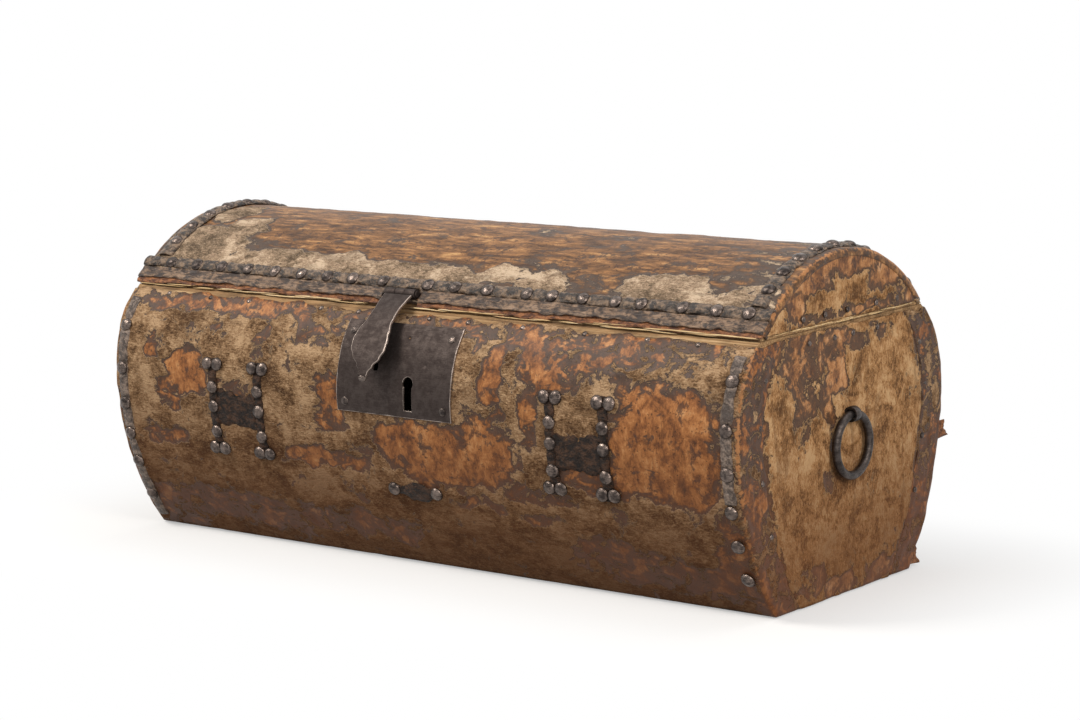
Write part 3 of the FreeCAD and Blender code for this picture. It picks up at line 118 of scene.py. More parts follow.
def lid_frame(distance):
    """Y and Z of the lid at a distance along it from the front's seam, and the way out there."""
    angle = SEAM_ANGLE + distance / LID_RADIUS
    way = Vector((0, -math.cos(angle), math.sin(angle)))
    return way.y * LID_RADIUS, LID_CENTRE + way.z * LID_RADIUS, way


def folded_run(fold):
    """Half the run of a hide that goes over the arrises and is folded onto the ends."""
    return HALF_LENGTH - ARRIS + ARRIS * math.pi / 2 + fold - ARRIS


def round_end(run):
    """Where a run along the box goes over its end: x, the drop inwards, and how far the face has turned."""
    reach = abs(run)
    flat = HALF_LENGTH - ARRIS
    arc = ARRIS * math.pi / 2
    way = math.copysign(1, run)
    if reach <= flat:
        return run, 0.0, 0.0
    if reach <= flat + arc:
        turn = (reach - flat) / ARRIS
        return way * (flat + ARRIS * math.sin(turn)), ARRIS * (1 - math.cos(turn)), turn
    return way * HALF_LENGTH, ARRIS + reach - flat - arc, math.pi / 2


def turned_out(way, run, turn):
    """The way out of a hide that has turned from one face towards the end."""
    return way * math.cos(turn) + Vector((math.copysign(1, run), 0, 0)) * math.sin(turn)


def ease(value, low, high):
    """0 below low, 1 above high, and smooth between them."""
    share = min(1.0, max(0.0, (value - low) / (high - low)))
    return share * share * (3 - 2 * share)


def rough(point, size):
    """Smooth noise from about -1 to 1, with lumps of the given size."""
    return noise.fractal(Vector(point) / size, 1.0, 2.0, 3, noise_basis="PERLIN_ORIGINAL")


# Meshes
def sheet(name, columns, rows, place, bare=None, rub_and_highlight=None, gone=None):
    """A grid of points put in place by their two shares, without those for which gone is true.

    Two values are kept on each point for its material: how bald the hide is, and how far the piece is rubbed,
    which on iron also paints a highlight along its edges.
    """
    shape = bmesh.new()
    bmesh.ops.create_grid(shape, x_segments=columns, y_segments=rows, size=0.5)
    bald = shape.verts.layers.float.new("bare")
    pale = shape.verts.layers.float.new("rub_and_highlight")
    lost = []
    for vert in shape.verts:
        across, along = vert.co.x + 0.5, vert.co.y + 0.5
        point = place(across, along)
        vert[bald] = bare(across, along) if bare else 0.0
        vert[pale] = rub_and_highlight(point) if rub_and_highlight else 0.0
        if gone and gone(point):
            lost.append(vert)
        vert.co = point * MM
    bmesh.ops.delete(shape, geom=lost, context="VERTS")
    return finish(name, shape)


def finish(name, shape):
    for face in shape.faces:
        face.smooth = True
    mesh = bpy.data.meshes.new(name)
    shape.to_mesh(mesh)
    shape.free()
    piece = bpy.data.objects.new(name, mesh)
    bpy.context.collection.objects.link(piece)
    return piece


def thicken(piece, thickness):
    wall = piece.modifiers.new("wall", "SOLIDIFY")
    wall.thickness = thickness * MM
    wall.offset = -1.0
    return piece


def soften(piece, width):
    """Take the sharpness off the edges of sheet iron."""
    worn_edge = piece.modifiers.new("worn_edge", "BEVEL")
    worn_edge.width = width * MM
    worn_edge.segments = 2
    worn_edge.limit_method = "ANGLE"
    worn_edge.angle_limit = math.radians(40)


def dress(piece, body, material, slot, *nodes):
    piece.data.materials.append(material)
    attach(piece, body)
    if nodes:
        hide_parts(*nodes)
    return piece


# Materials
def linear(code):
    """A colour written as sRGB hex, as the linear values that Blender mixes."""
    channels = [int(code[i:i + 2], 16) / 255 for i in (0, 2, 4)]
    return [c / 12.92 if c <= 0.04045 else ((c + 0.055) / 1.055) ** 2.4 for c in channels] + [1.0]


def node(material, kind, inputs=None, stops=None, **settings):
    """One node, with its settings, and each input at a value or joined to another node's output."""
    tree = material.node_tree
    made = tree.nodes.new("ShaderNode" + kind)
    for name, value in settings.items():
        setattr(made, name, value)
    for place, value in (inputs or {}).items():
        if isinstance(value, bpy.types.NodeSocket):
            tree.links.new(value, made.inputs[place])
        else:
            made.inputs[place].default_value = value
    if stops:
        ramp = made.color_ramp.elements
        while len(ramp) < len(stops):
            ramp.new(1.0)
        for element, (place, code) in zip(ramp, stops):
            element.position = place
            element.color = linear(code)
    return made


def new_material(name):
    material = bpy.data.materials.new(name)
    material.use_nodes = True
    material.node_tree.nodes.clear()
    return material


def surface(material, inputs, height, depth):
    """The closing shader, with a relief of the given depth in millimetres."""
    relief = node(material, "Bump", {"Height": height, "Distance": depth * MM})
    shader = node(material, "BsdfPrincipled", {"Normal": relief.outputs[0], **inputs})
    node(material, "OutputMaterial", {"Surface": shader.outputs[0]})


def pattern(material, sizes, detail, roughness=0.6, distortion=0.0):
    """Noise with grains of the given millimetres along X, Y and Z, and how fine, harsh and swirled it is."""
    place = node(material, "TexCoord").outputs["Object"]
    scaled = node(material, "Mapping", {"Vector": place, "Scale": [1 / (size * MM) for size in sizes]})
    return node(material, "TexNoise", {
        "Vector": scaled.outputs[0], "Scale": 1.0, "Detail": detail, "Roughness": roughness,
        "Distortion": distortion,
    }).outputs[0]


def swayed(material, value, *sways):
    """A value moved to and fro by patterns, each about its middle and by its own factor."""
    for sway, factor in sways:
        about = node(material, "Math", {0: sway, 1: 0.5}, operation="SUBTRACT").outputs[0]
        value = node(material, "Math", {0: about, 1: factor, 2: value}, operation="MULTIPLY_ADD").outputs[0]
    return value


def laid_over(material, under, over, where, low, high, strength=1.0):
    """One colour over another: none of it where a value is low, and its full strength where it is high."""
    share = node(material, "MapRange", {
        "Value": where, "From Min": low, "From Max": high, "To Max": strength,
    }, interpolation_type="SMOOTHSTEP").outputs[0]
    return node(material, "Mix", {0: share, 6: under, 7: over}, data_type="RGBA").outputs[2]


# Calf or pony hide, hair side out: short matt hair, worn off in patches down to a tanned skin that shines a
# little. Each patch has a pale fringe of singed hair, then a wide dark greasy band, and bare rust skin
# inside. Each of the three comes in over its own span of wear, and the height of the hair goes over SHORN.
FRINGE, BAND, SKIN = (0.40, 0.46), (0.455, 0.495), (0.58, 0.73)
SHORN = {"From Min": 0.43, "From Max": 0.50}


def hair_coat(material, hair, strand, cloud):
    """The colour of the hair, cloudy, dirty in streaks and with stray pale hairs, and its strands."""
    felt = pattern(material, (1.5, 1.2, 1.5), 2.0, 0.7, 0.5)
    strands = swayed(material, 0.5, (pattern(material, strand, 2.0, 0.6, 0.7), 0.5), (felt, 0.5))
    tufts = pattern(material, (9, 6, 7), 4.0, 0.6, 0.8)
    lie = swayed(material, 0.5, (strands, 0.75), (tufts, 0.42), (cloud, 0.85))
    coat = node(material, "ValToRGB", {0: lie}, stops=hair).outputs[0]
    dirt = pattern(material, [16.0 * size for size in strand], 5.0, 0.66, 0.7)
    coat = laid_over(material, coat, linear(hair[0][1]), dirt, 0.53, 0.64, 0.42)
    stray = pattern(material, [0.7 * size for size in strand], 2.0, 0.5, 0.4)
    return laid_over(material, coat, linear(hair[-1][1]), stray, 0.58, 0.68, 0.48), strands


def bare_skin(material, skin, scuffs, scratch):
    """The colour of scuffed tanned skin, with dark stains, scratches and specks."""
    leather = node(material, "ValToRGB", {0: scuffs}, stops=skin).outputs[0]
    stains = pattern(material, (13, 11, 15), 7.0, 0.68, 0.2)
    leather = laid_over(material, leather, linear("42302a"), stains, 0.565, 0.61, 0.75)
    scratches = pattern(material, scratch, 3.0, 0.6, 0.3)
    leather = laid_over(material, leather, linear("3c2618"), scratches, 0.56, 0.68, 0.45)
    specks = pattern(material, (2.6, 2.6, 2.6), 3.0)
    return laid_over(material, leather, linear("241811"), specks, 0.62, 0.68, 0.8)


def hide_material(name, hair, band, skin, strand, blotch, streak, scratch, swing):
    """Ramps for the hair, the band and the skin, the grains of their patterns, and how far wear swings."""
    material = new_material(name)
    nibbled = pattern(material, (5.5, 5.5, 5.5), 4.0, 0.65)
    cloud = pattern(material, (38, 30, 30), 4.0, 0.6, 0.6)
    scuffs = pattern(material, streak, 9.0, 0.74, 0.25)
    worn = node(material, "Attribute", attribute_name="bare").outputs["Fac"]
    worn = swayed(material, worn, (pattern(material, blotch, 7.0, 0.62, 0.9), swing), (nibbled, 0.42))

    coat, strands = hair_coat(material, hair, strand, cloud)
    grease = node(material, "ValToRGB", {0: worn}, stops=band).outputs[0]
    smears = pattern(material, (9, 9, 9), 6.0, 0.7)
    grease = laid_over(material, grease, linear("33261e"), smears, 0.36, 0.62, 0.45)
    colour = laid_over(material, coat, linear(hair[-1][1]), worn, *FRINGE, 0.65)
    colour = laid_over(material, colour, grease, worn, *BAND)
    colour = laid_over(material, colour, bare_skin(material, skin, scuffs, scratch), worn, *SKIN)

    rubbed = node(material, "Attribute", attribute_name="rub_and_highlight").outputs["Fac"]
    rubbed = swayed(material, rubbed, (nibbled, 1.6))
    colour = laid_over(material, colour, linear("b98254"), rubbed, 0.42, 0.62, 0.8)
    # Darker and redder in clouds towards the bottom, from 190 mm above the floor down to 20 mm
    height = node(material, "SeparateXYZ", {0: node(material, "TexCoord").outputs["Object"]}).outputs[2]
    darkening = swayed(material, 0.6072, (cloud, 0.92))
    colour = laid_over(material, colour, linear("63381b"), height, 0.19, 0.02, darkening)

    roughness = node(material, "MapRange", {"Value": worn, **SHORN, "To Min": 0.90, "To Max": 0.50},
                     interpolation_type="SMOOTHSTEP").outputs[0]
    skin_relief = swayed(material, -0.19, (scuffs, 0.20), (nibbled, 0.12))
    relief = node(material, "MapRange", {"Value": worn, **SHORN, "To Min": strands, "To Max": skin_relief},
                  interpolation_type="SMOOTHSTEP").outputs[0]
    surface(material, {"Base Color": colour, "Roughness": roughness, "Specular IOR Level": 0.22}, relief, 1.8)
    return material


# Belt leather blackened by grease, rubbed to a dull brown grey on its crests and finely cracked across
def strap_material(name, dark, worn, cracks, roughness, shine=0.5):
    material = new_material(name)
    rubbed = pattern(material, (10, 6, 6), 8.0, 0.7, 0.4)
    wrinkles = pattern(material, cracks, 5.0, 0.6, 1.0)
    crests = swayed(material, rubbed, (wrinkles, 0.5))
    colour = laid_over(material, linear(dark), linear(worn), crests, 0.40, 0.66)
    surface(material, {"Base Color": colour, "Roughness": roughness, "Specular IOR Level": shine},
            swayed(material, wrinkles, (rubbed, 0.6)), 2.6)
    return material


# Raw softwood, split and never planed: yellow-brown with darker straight grain along its length
def wood_material(name, dark, pale, bright, darkening):
    material = new_material(name)
    rings = pattern(material, (90, 2.0, 2.0), 6.0, 0.7, 0.35)
    grained = node(material, "ValToRGB", {0: rings}, stops=((0.30, dark), (0.52, pale), (0.72, bright)))
    dirt = pattern(material, (26, 12, 12), 5.0)
    colour = laid_over(material, grained.outputs[0], linear("3f2c1c"), dirt, 0.42, 0.66, darkening)
    surface(material, {"Base Color": colour, "Roughness": 0.75, "Specular IOR Level": 0.3}, rings, 0.8)
    return material


# Wrought iron, hammered and rusted to a brown black, with a dull shine where hands rub it, and pale edges
# that are partly worn polish and partly a painted highlight
def iron_material(name, dark, worn, patch_size, pit_size, roughness, depth):
    material = new_material(name)
    patches = pattern(material, (patch_size, patch_size, patch_size), 8.0, 0.75)
    pits = pattern(material, (pit_size, pit_size, pit_size), 4.0, 0.65)
    rubbed = swayed(material, patches, (pattern(material, (9.0, 9.0, 0.5), 3.0, 0.6, 0.6), 0.4))
    edge = node(material, "Attribute", attribute_name="rub_and_highlight").outputs["Fac"]
    edge = swayed(material, edge, (pits, 0.5))
    colour = laid_over(material, linear(dark), linear(worn), rubbed, 0.36, 0.68)
    colour = laid_over(material, colour, linear("1c1715"), pits, 0.60, 0.68, 0.5)
    # Pale iron along the edges: partly worn polish, partly a painted highlight
    colour = laid_over(material, colour, linear("a3958c"), edge, 0.35, 0.65)
    dull = node(material, "MapRange", {
        "Value": rubbed, "From Min": 0.36, "From Max": 0.68, "To Min": roughness + 0.16, "To Max": roughness,
    }, interpolation_type="SMOOTHSTEP").outputs[0]
    shiny = node(material, "MapRange", {
        "Value": edge, "From Min": 0.35, "From Max": 0.65, "To Min": dull, "To Max": 0.28,
    }, interpolation_type="SMOOTHSTEP").outputs[0]
    surface(material, {"Base Color": colour, "Metallic": 0.85, "Roughness": shiny},
            swayed(material, pits, (patches, 0.8)), depth)
    return material


# Colours of the band round a worn patch, of the bare skin in it, and of the hair outside it
DARK_BAND = ((0.47, "6f5847"), (0.50, "453630"), (0.56, "5d4639"), (0.62, "4a342a"), (0.70, "6c482e"))
END_BAND = ((0.47, "735a45"), (0.50, "452e20"), (0.56, "644832"), (0.62, "503625"), (0.70, "75502f"))
GREY_BAND = ((0.47, "85705d"), (0.50, "453b36"), (0.56, "5c4d43"), (0.62, "4b3c33"), (0.70, "674b36"))
FRONT_RUST = ((0.34, "442a1a"), (0.43, "784b2c"), (0.50, "9a643a"), (0.57, "b2794a"), (0.68, "ca9868"))
LID_RUST = ((0.37, "38281e"), (0.44, "5d422c"), (0.51, "7c5839"), (0.57, "9b7048"), (0.66, "c49a68"))
END_RUST = ((0.34, "4c3120"), (0.43, "805637"), (0.50, "a87549"), (0.57, "c18e61"), (0.68, "d6ab82"))
BROWN_HAIR = ((0.36, "48311e"), (0.45, "74583d"), (0.53, "947556"), (0.64, "ba9a78"))
PALE_HAIR = ((0.36, "574839"), (0.45, "84705b"), (0.53, "a0876f"), (0.64, "cdb69c"))
TAN_HAIR = ((0.36, "5f4128"), (0.45, "966d45"), (0.53, "b6895c"), (0.64, "d2ac80"))

body_skin = hide_material("hide_of_body", BROWN_HAIR, DARK_BAND, FRONT_RUST, strand=(5.0, 1.3, 1.3),
                          blotch=(22, 16, 16), streak=(13, 13, 18), scratch=(1.4, 1.4, 16), swing=1.2)
lid_skin = hide_material("hide_of_lid", PALE_HAIR, GREY_BAND, LID_RUST, strand=(4.5, 1.3, 1.3),
                         blotch=(40, 16, 16), streak=(36, 7, 7), scratch=(22, 1.4, 1.4), swing=1.15)
end_skin = hide_material("hide_of_ends", TAN_HAIR, END_BAND, END_RUST, strand=(1.3, 1.3, 4.5),
                         blotch=(20, 18, 22), streak=(12, 12, 16), scratch=(1.4, 1.4, 14), swing=0.9)
strap = strap_material("greased_strap_leather", "22170f", "8d755f", (4, 3.2, 3.2), 0.38)
worn_strap = strap_material("worn_corner_strap", "3f322a", "8f7d70", (4, 4, 6), 0.45)
lip_leather = strap_material("folded_lip_leather", "2b1c13", "997c63", (11, 2.6, 2.6), 0.40)
edge_leather = strap_material("raw_leather_edge", "55301c", "b5794d", (7, 1.5, 1.5), 0.6)
patch_leather = strap_material("charred_patch_leather", "160d08", "523a2b", (4, 2.2, 2.2), 0.50, 0.20)
base_leather = strap_material("scuffed_base_leather", "3d2c20", "6b4f38", (12, 8, 8), 0.7)
wood = wood_material("split_softwood", "5f452e", "a5825a", "dcbf95", 0.55)
sliver_wood = wood_material("fresh_splinters", "b08d58", "e8c998", "fbefd2", 0.12)
nail_iron = iron_material("forged_nail_iron", "2b2523", "7a6c64", 10, 1.8, 0.20, 0.35)
plate_iron = iron_material("rusted_sheet_iron", "362d2a", "463d39", 9, 1.3, 0.50, 0.30)
ring_iron = iron_material("forged_ring_iron", "26211f", "524a46", 10, 2.2, 0.32, 0.45)


# Patches of the hide: place along, place up, half width, half height, and how bald
FRONT_PATCHES = (
    (179, 221, 42, 22, 0.70), (275, 161, 30, 43, 1.0), (322, 160, 34, 45, 1.0), (300, 127, 52, 20, 1.0),
    (202, 238, 32, 10, 0.5), (107, 195, 13, 40, 0.8), (29, 124, 46, 28, 1.0), (0, 133, 31, 16, 0.9),
    (99, 132, 28, 31, 0.9), (67, 103, 37, 12, 0.8), (-91, 161, 16, 25, 0.85), (-71, 177, 23, 9, 0.5),
    (-110, 106, 45, 8, 0.8), (-278, 174, 22, 20, 0.9), (-307, 151, 17, 14, 0.7), (-320, 108, 26, 8, 0.8),
    (-230, 244, 76, 9, 0.62), (-329, 240, 33, 8, 0.6), (-113, 220, 22, 11, 0.5), (-183, 211, 9, 15, 0.55),
    (-244, 218, 11, 9, 0.5), (-329, 197, 12, 12, 0.6), (-144, 236, 15, 7, 0.5), (-262, 34, 104, 16, 0.6),
    (-341, 8, 43, 10, 0.5), (-99, 38, 80, 12, 0.5), (247, 34, 53, 16, 0.6), (221, 54, 30, 10, 0.55),
    (312, 31, 40, 13, 0.6), (359, 58, 15, 36, 0.7), (323, 243, 30, 14, 0.5), (255, 236, 80, 16, 0.52),
    (121, 240, 55, 10, 0.6), (377, 9, 11, 12, 0.5), (78, 77, 34, 7, 0.5), (159, 92, 44, 7, 0.5),
    (228, 128, 9, 19, 0.5), (147, 70, 24, 6, 0.5), (40, 244, 40, 7, 0.5), (-60, 245, 60, 6, 0.5),
    (-214, 165, 22, 10, 0.5), (205, 118, 30, 12, 0.6), (150, 165, 10, 24, 0.55),
)
BACK_PATCHES = (
    (-250, 150, 70, 42, 0.9), (-120, 90, 60, 24, 0.8), (60, 170, 90, 26, 0.8), (210, 60, 80, 30, 0.7),
    (300, 190, 40, 30, 0.9), (0, 30, 120, 12, 0.6), (-330, 60, 30, 40, 0.6), (-40, 232, 90, 14, 0.6),
    (160, 236, 70, 10, 0.6), (-220, 236, 60, 12, 0.5),
)
# Hair left on the lid: place along, distance up from the front's seam, half width and half length
LID_HAIR = (
    (-325, 61, 50, 28), (-345, 34, 34, 14), (-292, 92, 24, 20), (-335, 126, 22, 24), (-190, 44, 70, 14),
    (-81, 44, 72, 12), (-18, 44, 47, 12), (-135, 50, 36, 12), (38, 44, 30, 8), (62, 52, 16, 10),
    (122, 48, 17, 12), (115, 40, 27, 7), (250, 52, 36, 17), (230, 44, 24, 10), (276, 58, 16, 12),
    (328, 44, 12, 8), (301, 40, 12, 5), (-200, 262, 70, 26), (40, 280, 110, 18), (260, 240, 50, 30),
    (-330, 240, 30, 30),
)
END_PATCHES = (
    (-15, 208, 14, 15, 1.0), (-64, 191, 18, 24, 0.6), (-60, 222, 36, 14, 0.7), (-60, 240, 40, 10, 0.7),
    (8, 236, 52, 10, 0.6), (70, 238, 30, 9, 0.55), (-80, 166, 14, 22, 0.5), (-27, 111, 10, 9, 0.5),
    (-1, 8, 34, 10, 0.6), (-60, 22, 24, 14, 0.55), (61, 10, 35, 10, 0.6), (-34, 184, 14, 24, 0.55),
    (-22, 150, 10, 16, 0.45),
)
LID_END_PATCHES = (
    (-46, 300, 30, 14, 1.0), (-84, 276, 18, 12, 0.9), (10, 306, 34, 9, 0.9), (66, 290, 28, 12, 0.8),
    (110, 264, 20, 12, 0.6), (0, 262, 90, 6, 0.55),
)


def worn_by(patches, across, up, seed):
    """How bald the hide is there: hair below 0.45, greasy band to 0.65, bare skin above."""
    swing = Vector((across, up, seed * 97.0))
    across += 9.0 * rough(swing, 26.0)
    up += 8.0 * rough(swing + Vector((50, 0, 0)), 22.0)
    most = 0.0
    for middle, height, half_width, half_height, share in patches:
        # A patch is squarish: its corners reach further than an ellipse's
        away = (abs((across - middle) / half_width) ** 3 + abs((up - height) / half_height) ** 3) ** (1 / 3)
        most = max(most, share * ease(1.6 - away, 0.0, 1.0))
    return min(1.0, 0.28 + 0.16 * rough(swing + Vector((0, 0, 400)), 44.0) + 0.56 * most)


def coat_relief(point, bald):
    """How far the hide stands off the boards: hair, wrinkles and small dents."""
    wrinkle = 0.8 * rough(point, 70.0) + 0.35 * rough(point, 14.0)
    return wrinkle + 0.9 * (1.0 - ease(bald, 0.40, 0.52))


def arris_rub(away, point, lump):
    """How far the hide is rubbed pale at a distance from an arris."""
    return 0.62 * ease(6.0 - away, 0.0, 5.0) + 0.22 * rough(point, lump)


# The part of the front that the lock plate hides, where the hide is cut out: from and to, along and up
LOCK_WINDOW = ((-60.0, 40.0), (160.0, 226.0))


def behind_lock(point):
    (left, right), (low, high) = LOCK_WINDOW
    return left < point.x < right and low < point.z < high and point.y < 0


def body_rub(point):
    away = math.hypot(HALF_LENGTH - abs(point.x), body_y(point.z, 1) - abs(point.y))
    return arris_rub(away, point, 30.0)


# Hide of the front and back, folded over the arrises onto the ends
def body_hide(name, side, patches, node_name, window=None):
    half_run = folded_run(FOLD)

    def run_and_height(across, along):
        run = (across - 0.5) * 2 * half_run * -side
        key = Vector((run, side * 500, 0))
        low = 1.2 + 1.6 * max(0.0, rough(key, 45.0))
        high = SEAM - 3.4 + 3.3 * rough(key + Vector((0, 0, 90)), 24.0)
        edge = ease(abs(across - 0.5), 0.48, 0.5)
        ragged = edge * 3.5 * rough(Vector((along * 250, side * 300, 0)), 18.0)
        return run + ragged, low + along * (high - low)

    def bald(across, along):
        run, height = run_and_height(across, along)
        onto_end = ease(abs(run), HALF_LENGTH - 14, HALF_LENGTH + 6)
        share = worn_by(patches, run, height, side)
        # The folds are greasy all over
        fold = 0.56 + 0.16 * rough((run, height, side * 70), 26.0)
        return share + (fold - share) * onto_end

    def place(across, along):
        run, height = run_and_height(across, along)
        x, inwards, turn = round_end(run)
        way = turned_out(body_normal(height, side), run, turn)
        point = Vector((x, body_y(height, side) - side * inwards, height))
        lift = coat_relief(point, bald(across, along))
        if turn > 1:
            lift += 0.7 * rough((x, inwards * 2, height * 0.4), 9.0)
        # The relief dies away at the hide's upper and lower edges
        return point + way * (lift * min(1.0, along * 14, (1 - along) * 14))

    # Here and on the ends and the lid, a point stands about every 2.5 mm
    piece = sheet(name, 324, 108, place, bald, body_rub, window)
    return dress(thicken(piece, HIDE_THICKNESS), "box", body_skin, "hide", node_name)


body_hide("front_skin", -1, FRONT_PATCHES, "front_hide", behind_lock)
body_hide("back_skin", 1, BACK_PATCHES, "back_hide")


# Hide of the ends, between the folds
def end_hide(name, end, patches, node_name):
    def y_and_height(across, along):
        height = 1.0 + along * (SEAM - 3.6 + 1.3 * rough((across * 200, end * 60, 0), 14.0))
        half = body_y(height, 1) - FOLD + 2.0
        return (across - 0.5) * 2 * half * end, height

    def bald(across, along):
        y, height = y_and_height(across, along)
        edge = min(across, 1 - across)
        return worn_by(patches, y, height, end * 3) + 0.22 * ease(0.06 - edge, 0.0, 0.06)

    def place(across, along):
        y, height = y_and_height(across, along)
        point = Vector((end * HALF_LENGTH, y, height))
        # Its side edges go down under the folds
        sunk = -0.9 * ease(0.03 - min(across, 1 - across), 0.0, 0.03)
        return point + Vector((end * (coat_relief(point, bald(across, along)) + sunk), 0, 0))

    piece = sheet(name, 104, 100, place, bald)
    return dress(thicken(piece, HIDE_THICKNESS), "box", end_skin, "hide", node_name)


mirrored = tuple((-y, height, half_width, half_height, share)
                 for y, height, half_width, half_height, share in END_PATCHES)
end_hide("end_skin_right", 1, END_PATCHES, "end_hide_right")
end_hide("end_skin_left", -1, mirrored, "end_hide_left")


# The scuffed hide under the box, hair side in
def base_place(across, along):
    x = (across - 0.5) * 2 * (HALF_LENGTH - 2.5)
    y = (along - 0.5) * 2 * (body_y(0.0, 1) - 2.5)
    return Vector((x, -y, 0.1 + 0.5 * abs(rough((x, y, 0), 40.0))))


dress(thicken(sheet("base_skin", 90, 30, base_place), 1.4), "box", base_leather, "hide", "bottom_hide")


# Hide of the lid, folded onto its ends
def lid_bald(run, distance):
    swing = Vector((run, distance, 0))
    across = run + 9.0 * rough(swing, 30.0)
    up = distance + 7.0 * rough(swing + Vector((70, 0, 0)), 24.0)
    least = 1.0
    for middle, height, half_width, half_height in LID_HAIR:
        away = math.hypot((across - middle) / half_width, (up - height) / half_height)
        least = min(least, 1.0 - ease(1.5 - away, 0.0, 0.8))
    streak = 0.12 * rough(Vector((run * 0.35, distance, 7)), 14.0)
    # Near the front edge and the right end the bare skin is greyer, as in the greasy band
    grey = 0.16 * ease(80.0 - distance, 0.0, 40.0) + 0.16 * ease(run, 250.0, 340.0)
    return max(0.0, min(1.0, 0.10 + 0.66 * least + streak + 0.12 * rough(swing, 70.0) - grey * least))


def lid_rub(point):
    from_axis = math.hypot(point.y, point.z - LID_CENTRE)
    return arris_rub(math.hypot(HALF_LENGTH - abs(point.x), LID_RADIUS - from_axis), point, 26.0)


def lid_hide():
    half_run = folded_run(LID_FOLD)
    margin = 8.0

    def run_and_distance(across, along):
        run = (across - 0.5) * 2 * half_run
        ragged = 1.2 * rough(Vector((run, 900, 0)), 18.0)
        return run, margin + ragged + along * (LID_ARC - 2 * margin - 2 * ragged)

    def bald(across, along):
        run, distance = run_and_distance(across, along)
        onto_end = ease(abs(run), HALF_LENGTH - 18, HALF_LENGTH + 4)
        share = lid_bald(run, distance)
        # The folds are bare skin
        fold = 0.74 + 0.16 * rough((run, distance, 70), 16.0)
        return share + (fold - share) * onto_end

    def place(across, along):
        run, distance = run_and_distance(across, along)
        x, inwards, turn = round_end(run)
        y, z, out = lid_frame(distance)
        point = Vector((x, y, z)) - out * inwards
        lift = coat_relief(point, bald(across, along))
        return point + turned_out(out, run, turn) * (lift * min(1.0, along * 16, (1 - along) * 16))

    piece = sheet("lid_skin", 316, 124, place, bald, lid_rub)
    return dress(thicken(piece, HIDE_THICKNESS), "lid", lid_skin, "hide", "lid_hide")


lid_hide()


def lid_end_hide(name, end, node_name):
    radius = LID_RADIUS - LID_FOLD + 2.0

    def y_and_height(across, along):
        low = SEAM + 4.6 + 1.4 * rough((across * 300, end * 40, 0), 13.0)
        half = math.sqrt(radius ** 2 - (low - LID_CENTRE) ** 2)
        y = (across - 0.5) * 2 * half * end
        top = LID_CENTRE + math.sqrt(radius ** 2 - y ** 2)
        return y, low + along * (top - low)

    def bald(across, along):
        y, height = y_and_height(across, along)
        return worn_by(LID_END_PATCHES, y, height, end * 5) + 0.30 * ease(along, 0.80, 1.0)

    def place(across, along):
        y, height = y_and_height(across, along)
        point = Vector((end * HALF_LENGTH, y, height))
        return point + Vector((end * (coat_relief(point, bald(across, along)) - 0.6), 0, 0))

    piece = sheet(name, 100, 24, place, bald)
    return dress(thicken(piece, 1.6), "lid", end_skin, "hide", node_name)


lid_end_hide("lid_end_skin_right", 1, "lid_end_hide_right")
lid_end_hide("lid_end_skin_left", -1, "lid_end_hide_left")


# Nails: where each one stands, read from its CAD solid
def islands(name):
    """The points of each separate solid of a CAD node."""
    shape = bmesh.new()
    shape.from_mesh(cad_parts[name].data)
    bmesh.ops.remove_doubles(shape, verts=shape.verts, dist=2e-5)
    found, seen = [], set()
    for first in shape.verts:
        if first in seen:
            continue
        group, todo = [], [first]
        seen.add(first)
        while todo:
            vert = todo.pop()
            group.append(vert.co.copy() / MM)
            for edge in vert.link_edges:
                other = edge.other_vert(vert)
                if other not in seen:
                    seen.add(other)
                    todo.append(other)
        found.append(group)
    shape.free()
    return found


def nail_places(name):
    """The crown of each nail's head and the way that it points."""
    places = []
    for group in islands(name):
        middle = sum(group, Vector()) / len(group)
        tip = max(group, key=lambda point: (point - middle).length)
        crown = max(group, key=lambda point: (point - tip).length)
        places.append((crown, (crown - tip).normalized()))
    return places


# The angles at which the profile of a nail's head is drawn, from its crown to its rim
HEAD_ANGLES = (math.pi / 2, 1.30, 1.0, 0.72, 0.42, 0.16, 0.0)


def nail_heads(name, body, radius, rise):
    """Hand-forged heads, each a little out of round, dented and off square."""
    chance = random.Random(name)
    shape = bmesh.new()
    for crown, way in nail_places(name):
        start = len(shape.verts)
        profile = [shape.verts.new(Vector((radius * math.cos(angle), 0, rise * math.sin(angle))))
                   for angle in HEAD_ANGLES]
        # Below its rim the head is drawn in a little, and closed inside the hide
        profile.append(shape.verts.new(Vector((radius * 0.90, 0, -1.0))))
        profile.append(shape.verts.new(Vector((0, 0, -1.6))))
        edges = [shape.edges.new(pair) for pair in zip(profile, profile[1:])]
        bmesh.ops.spin(shape, geom=profile + edges, cent=(0, 0, 0), axis=(0, 0, 1), angle=2 * math.pi,
                       steps=16, use_merge=True, use_duplicate=False)
        shape.verts.ensure_lookup_table()
        squash = 1.0 + chance.uniform(-0.08, 0.04)
        lean = Vector((chance.uniform(-0.08, 0.08), chance.uniform(-0.08, 0.08), 1)).normalized()
        turn = way.to_track_quat("Z", "Y").to_matrix() @ lean.to_track_quat("Z", "Y").to_matrix()
        foot = crown - way * rise
        spin = Matrix.Rotation(chance.uniform(0, math.pi), 3, "Z")
        for vert in shape.verts[start:]:
            local = spin @ vert.co
            local.x *= squash
            local += local.normalized() * 0.25 * rough(crown + local * 2, 7.0)
            vert.co = (foot + turn @ local) * MM
    bmesh.ops.remove_doubles(shape, verts=shape.verts, dist=1e-5)
    bmesh.ops.recalc_face_normals(shape, faces=shape.faces)
    return dress(finish(name + "_heads", shape), body, nail_iron, "nail_iron", name)


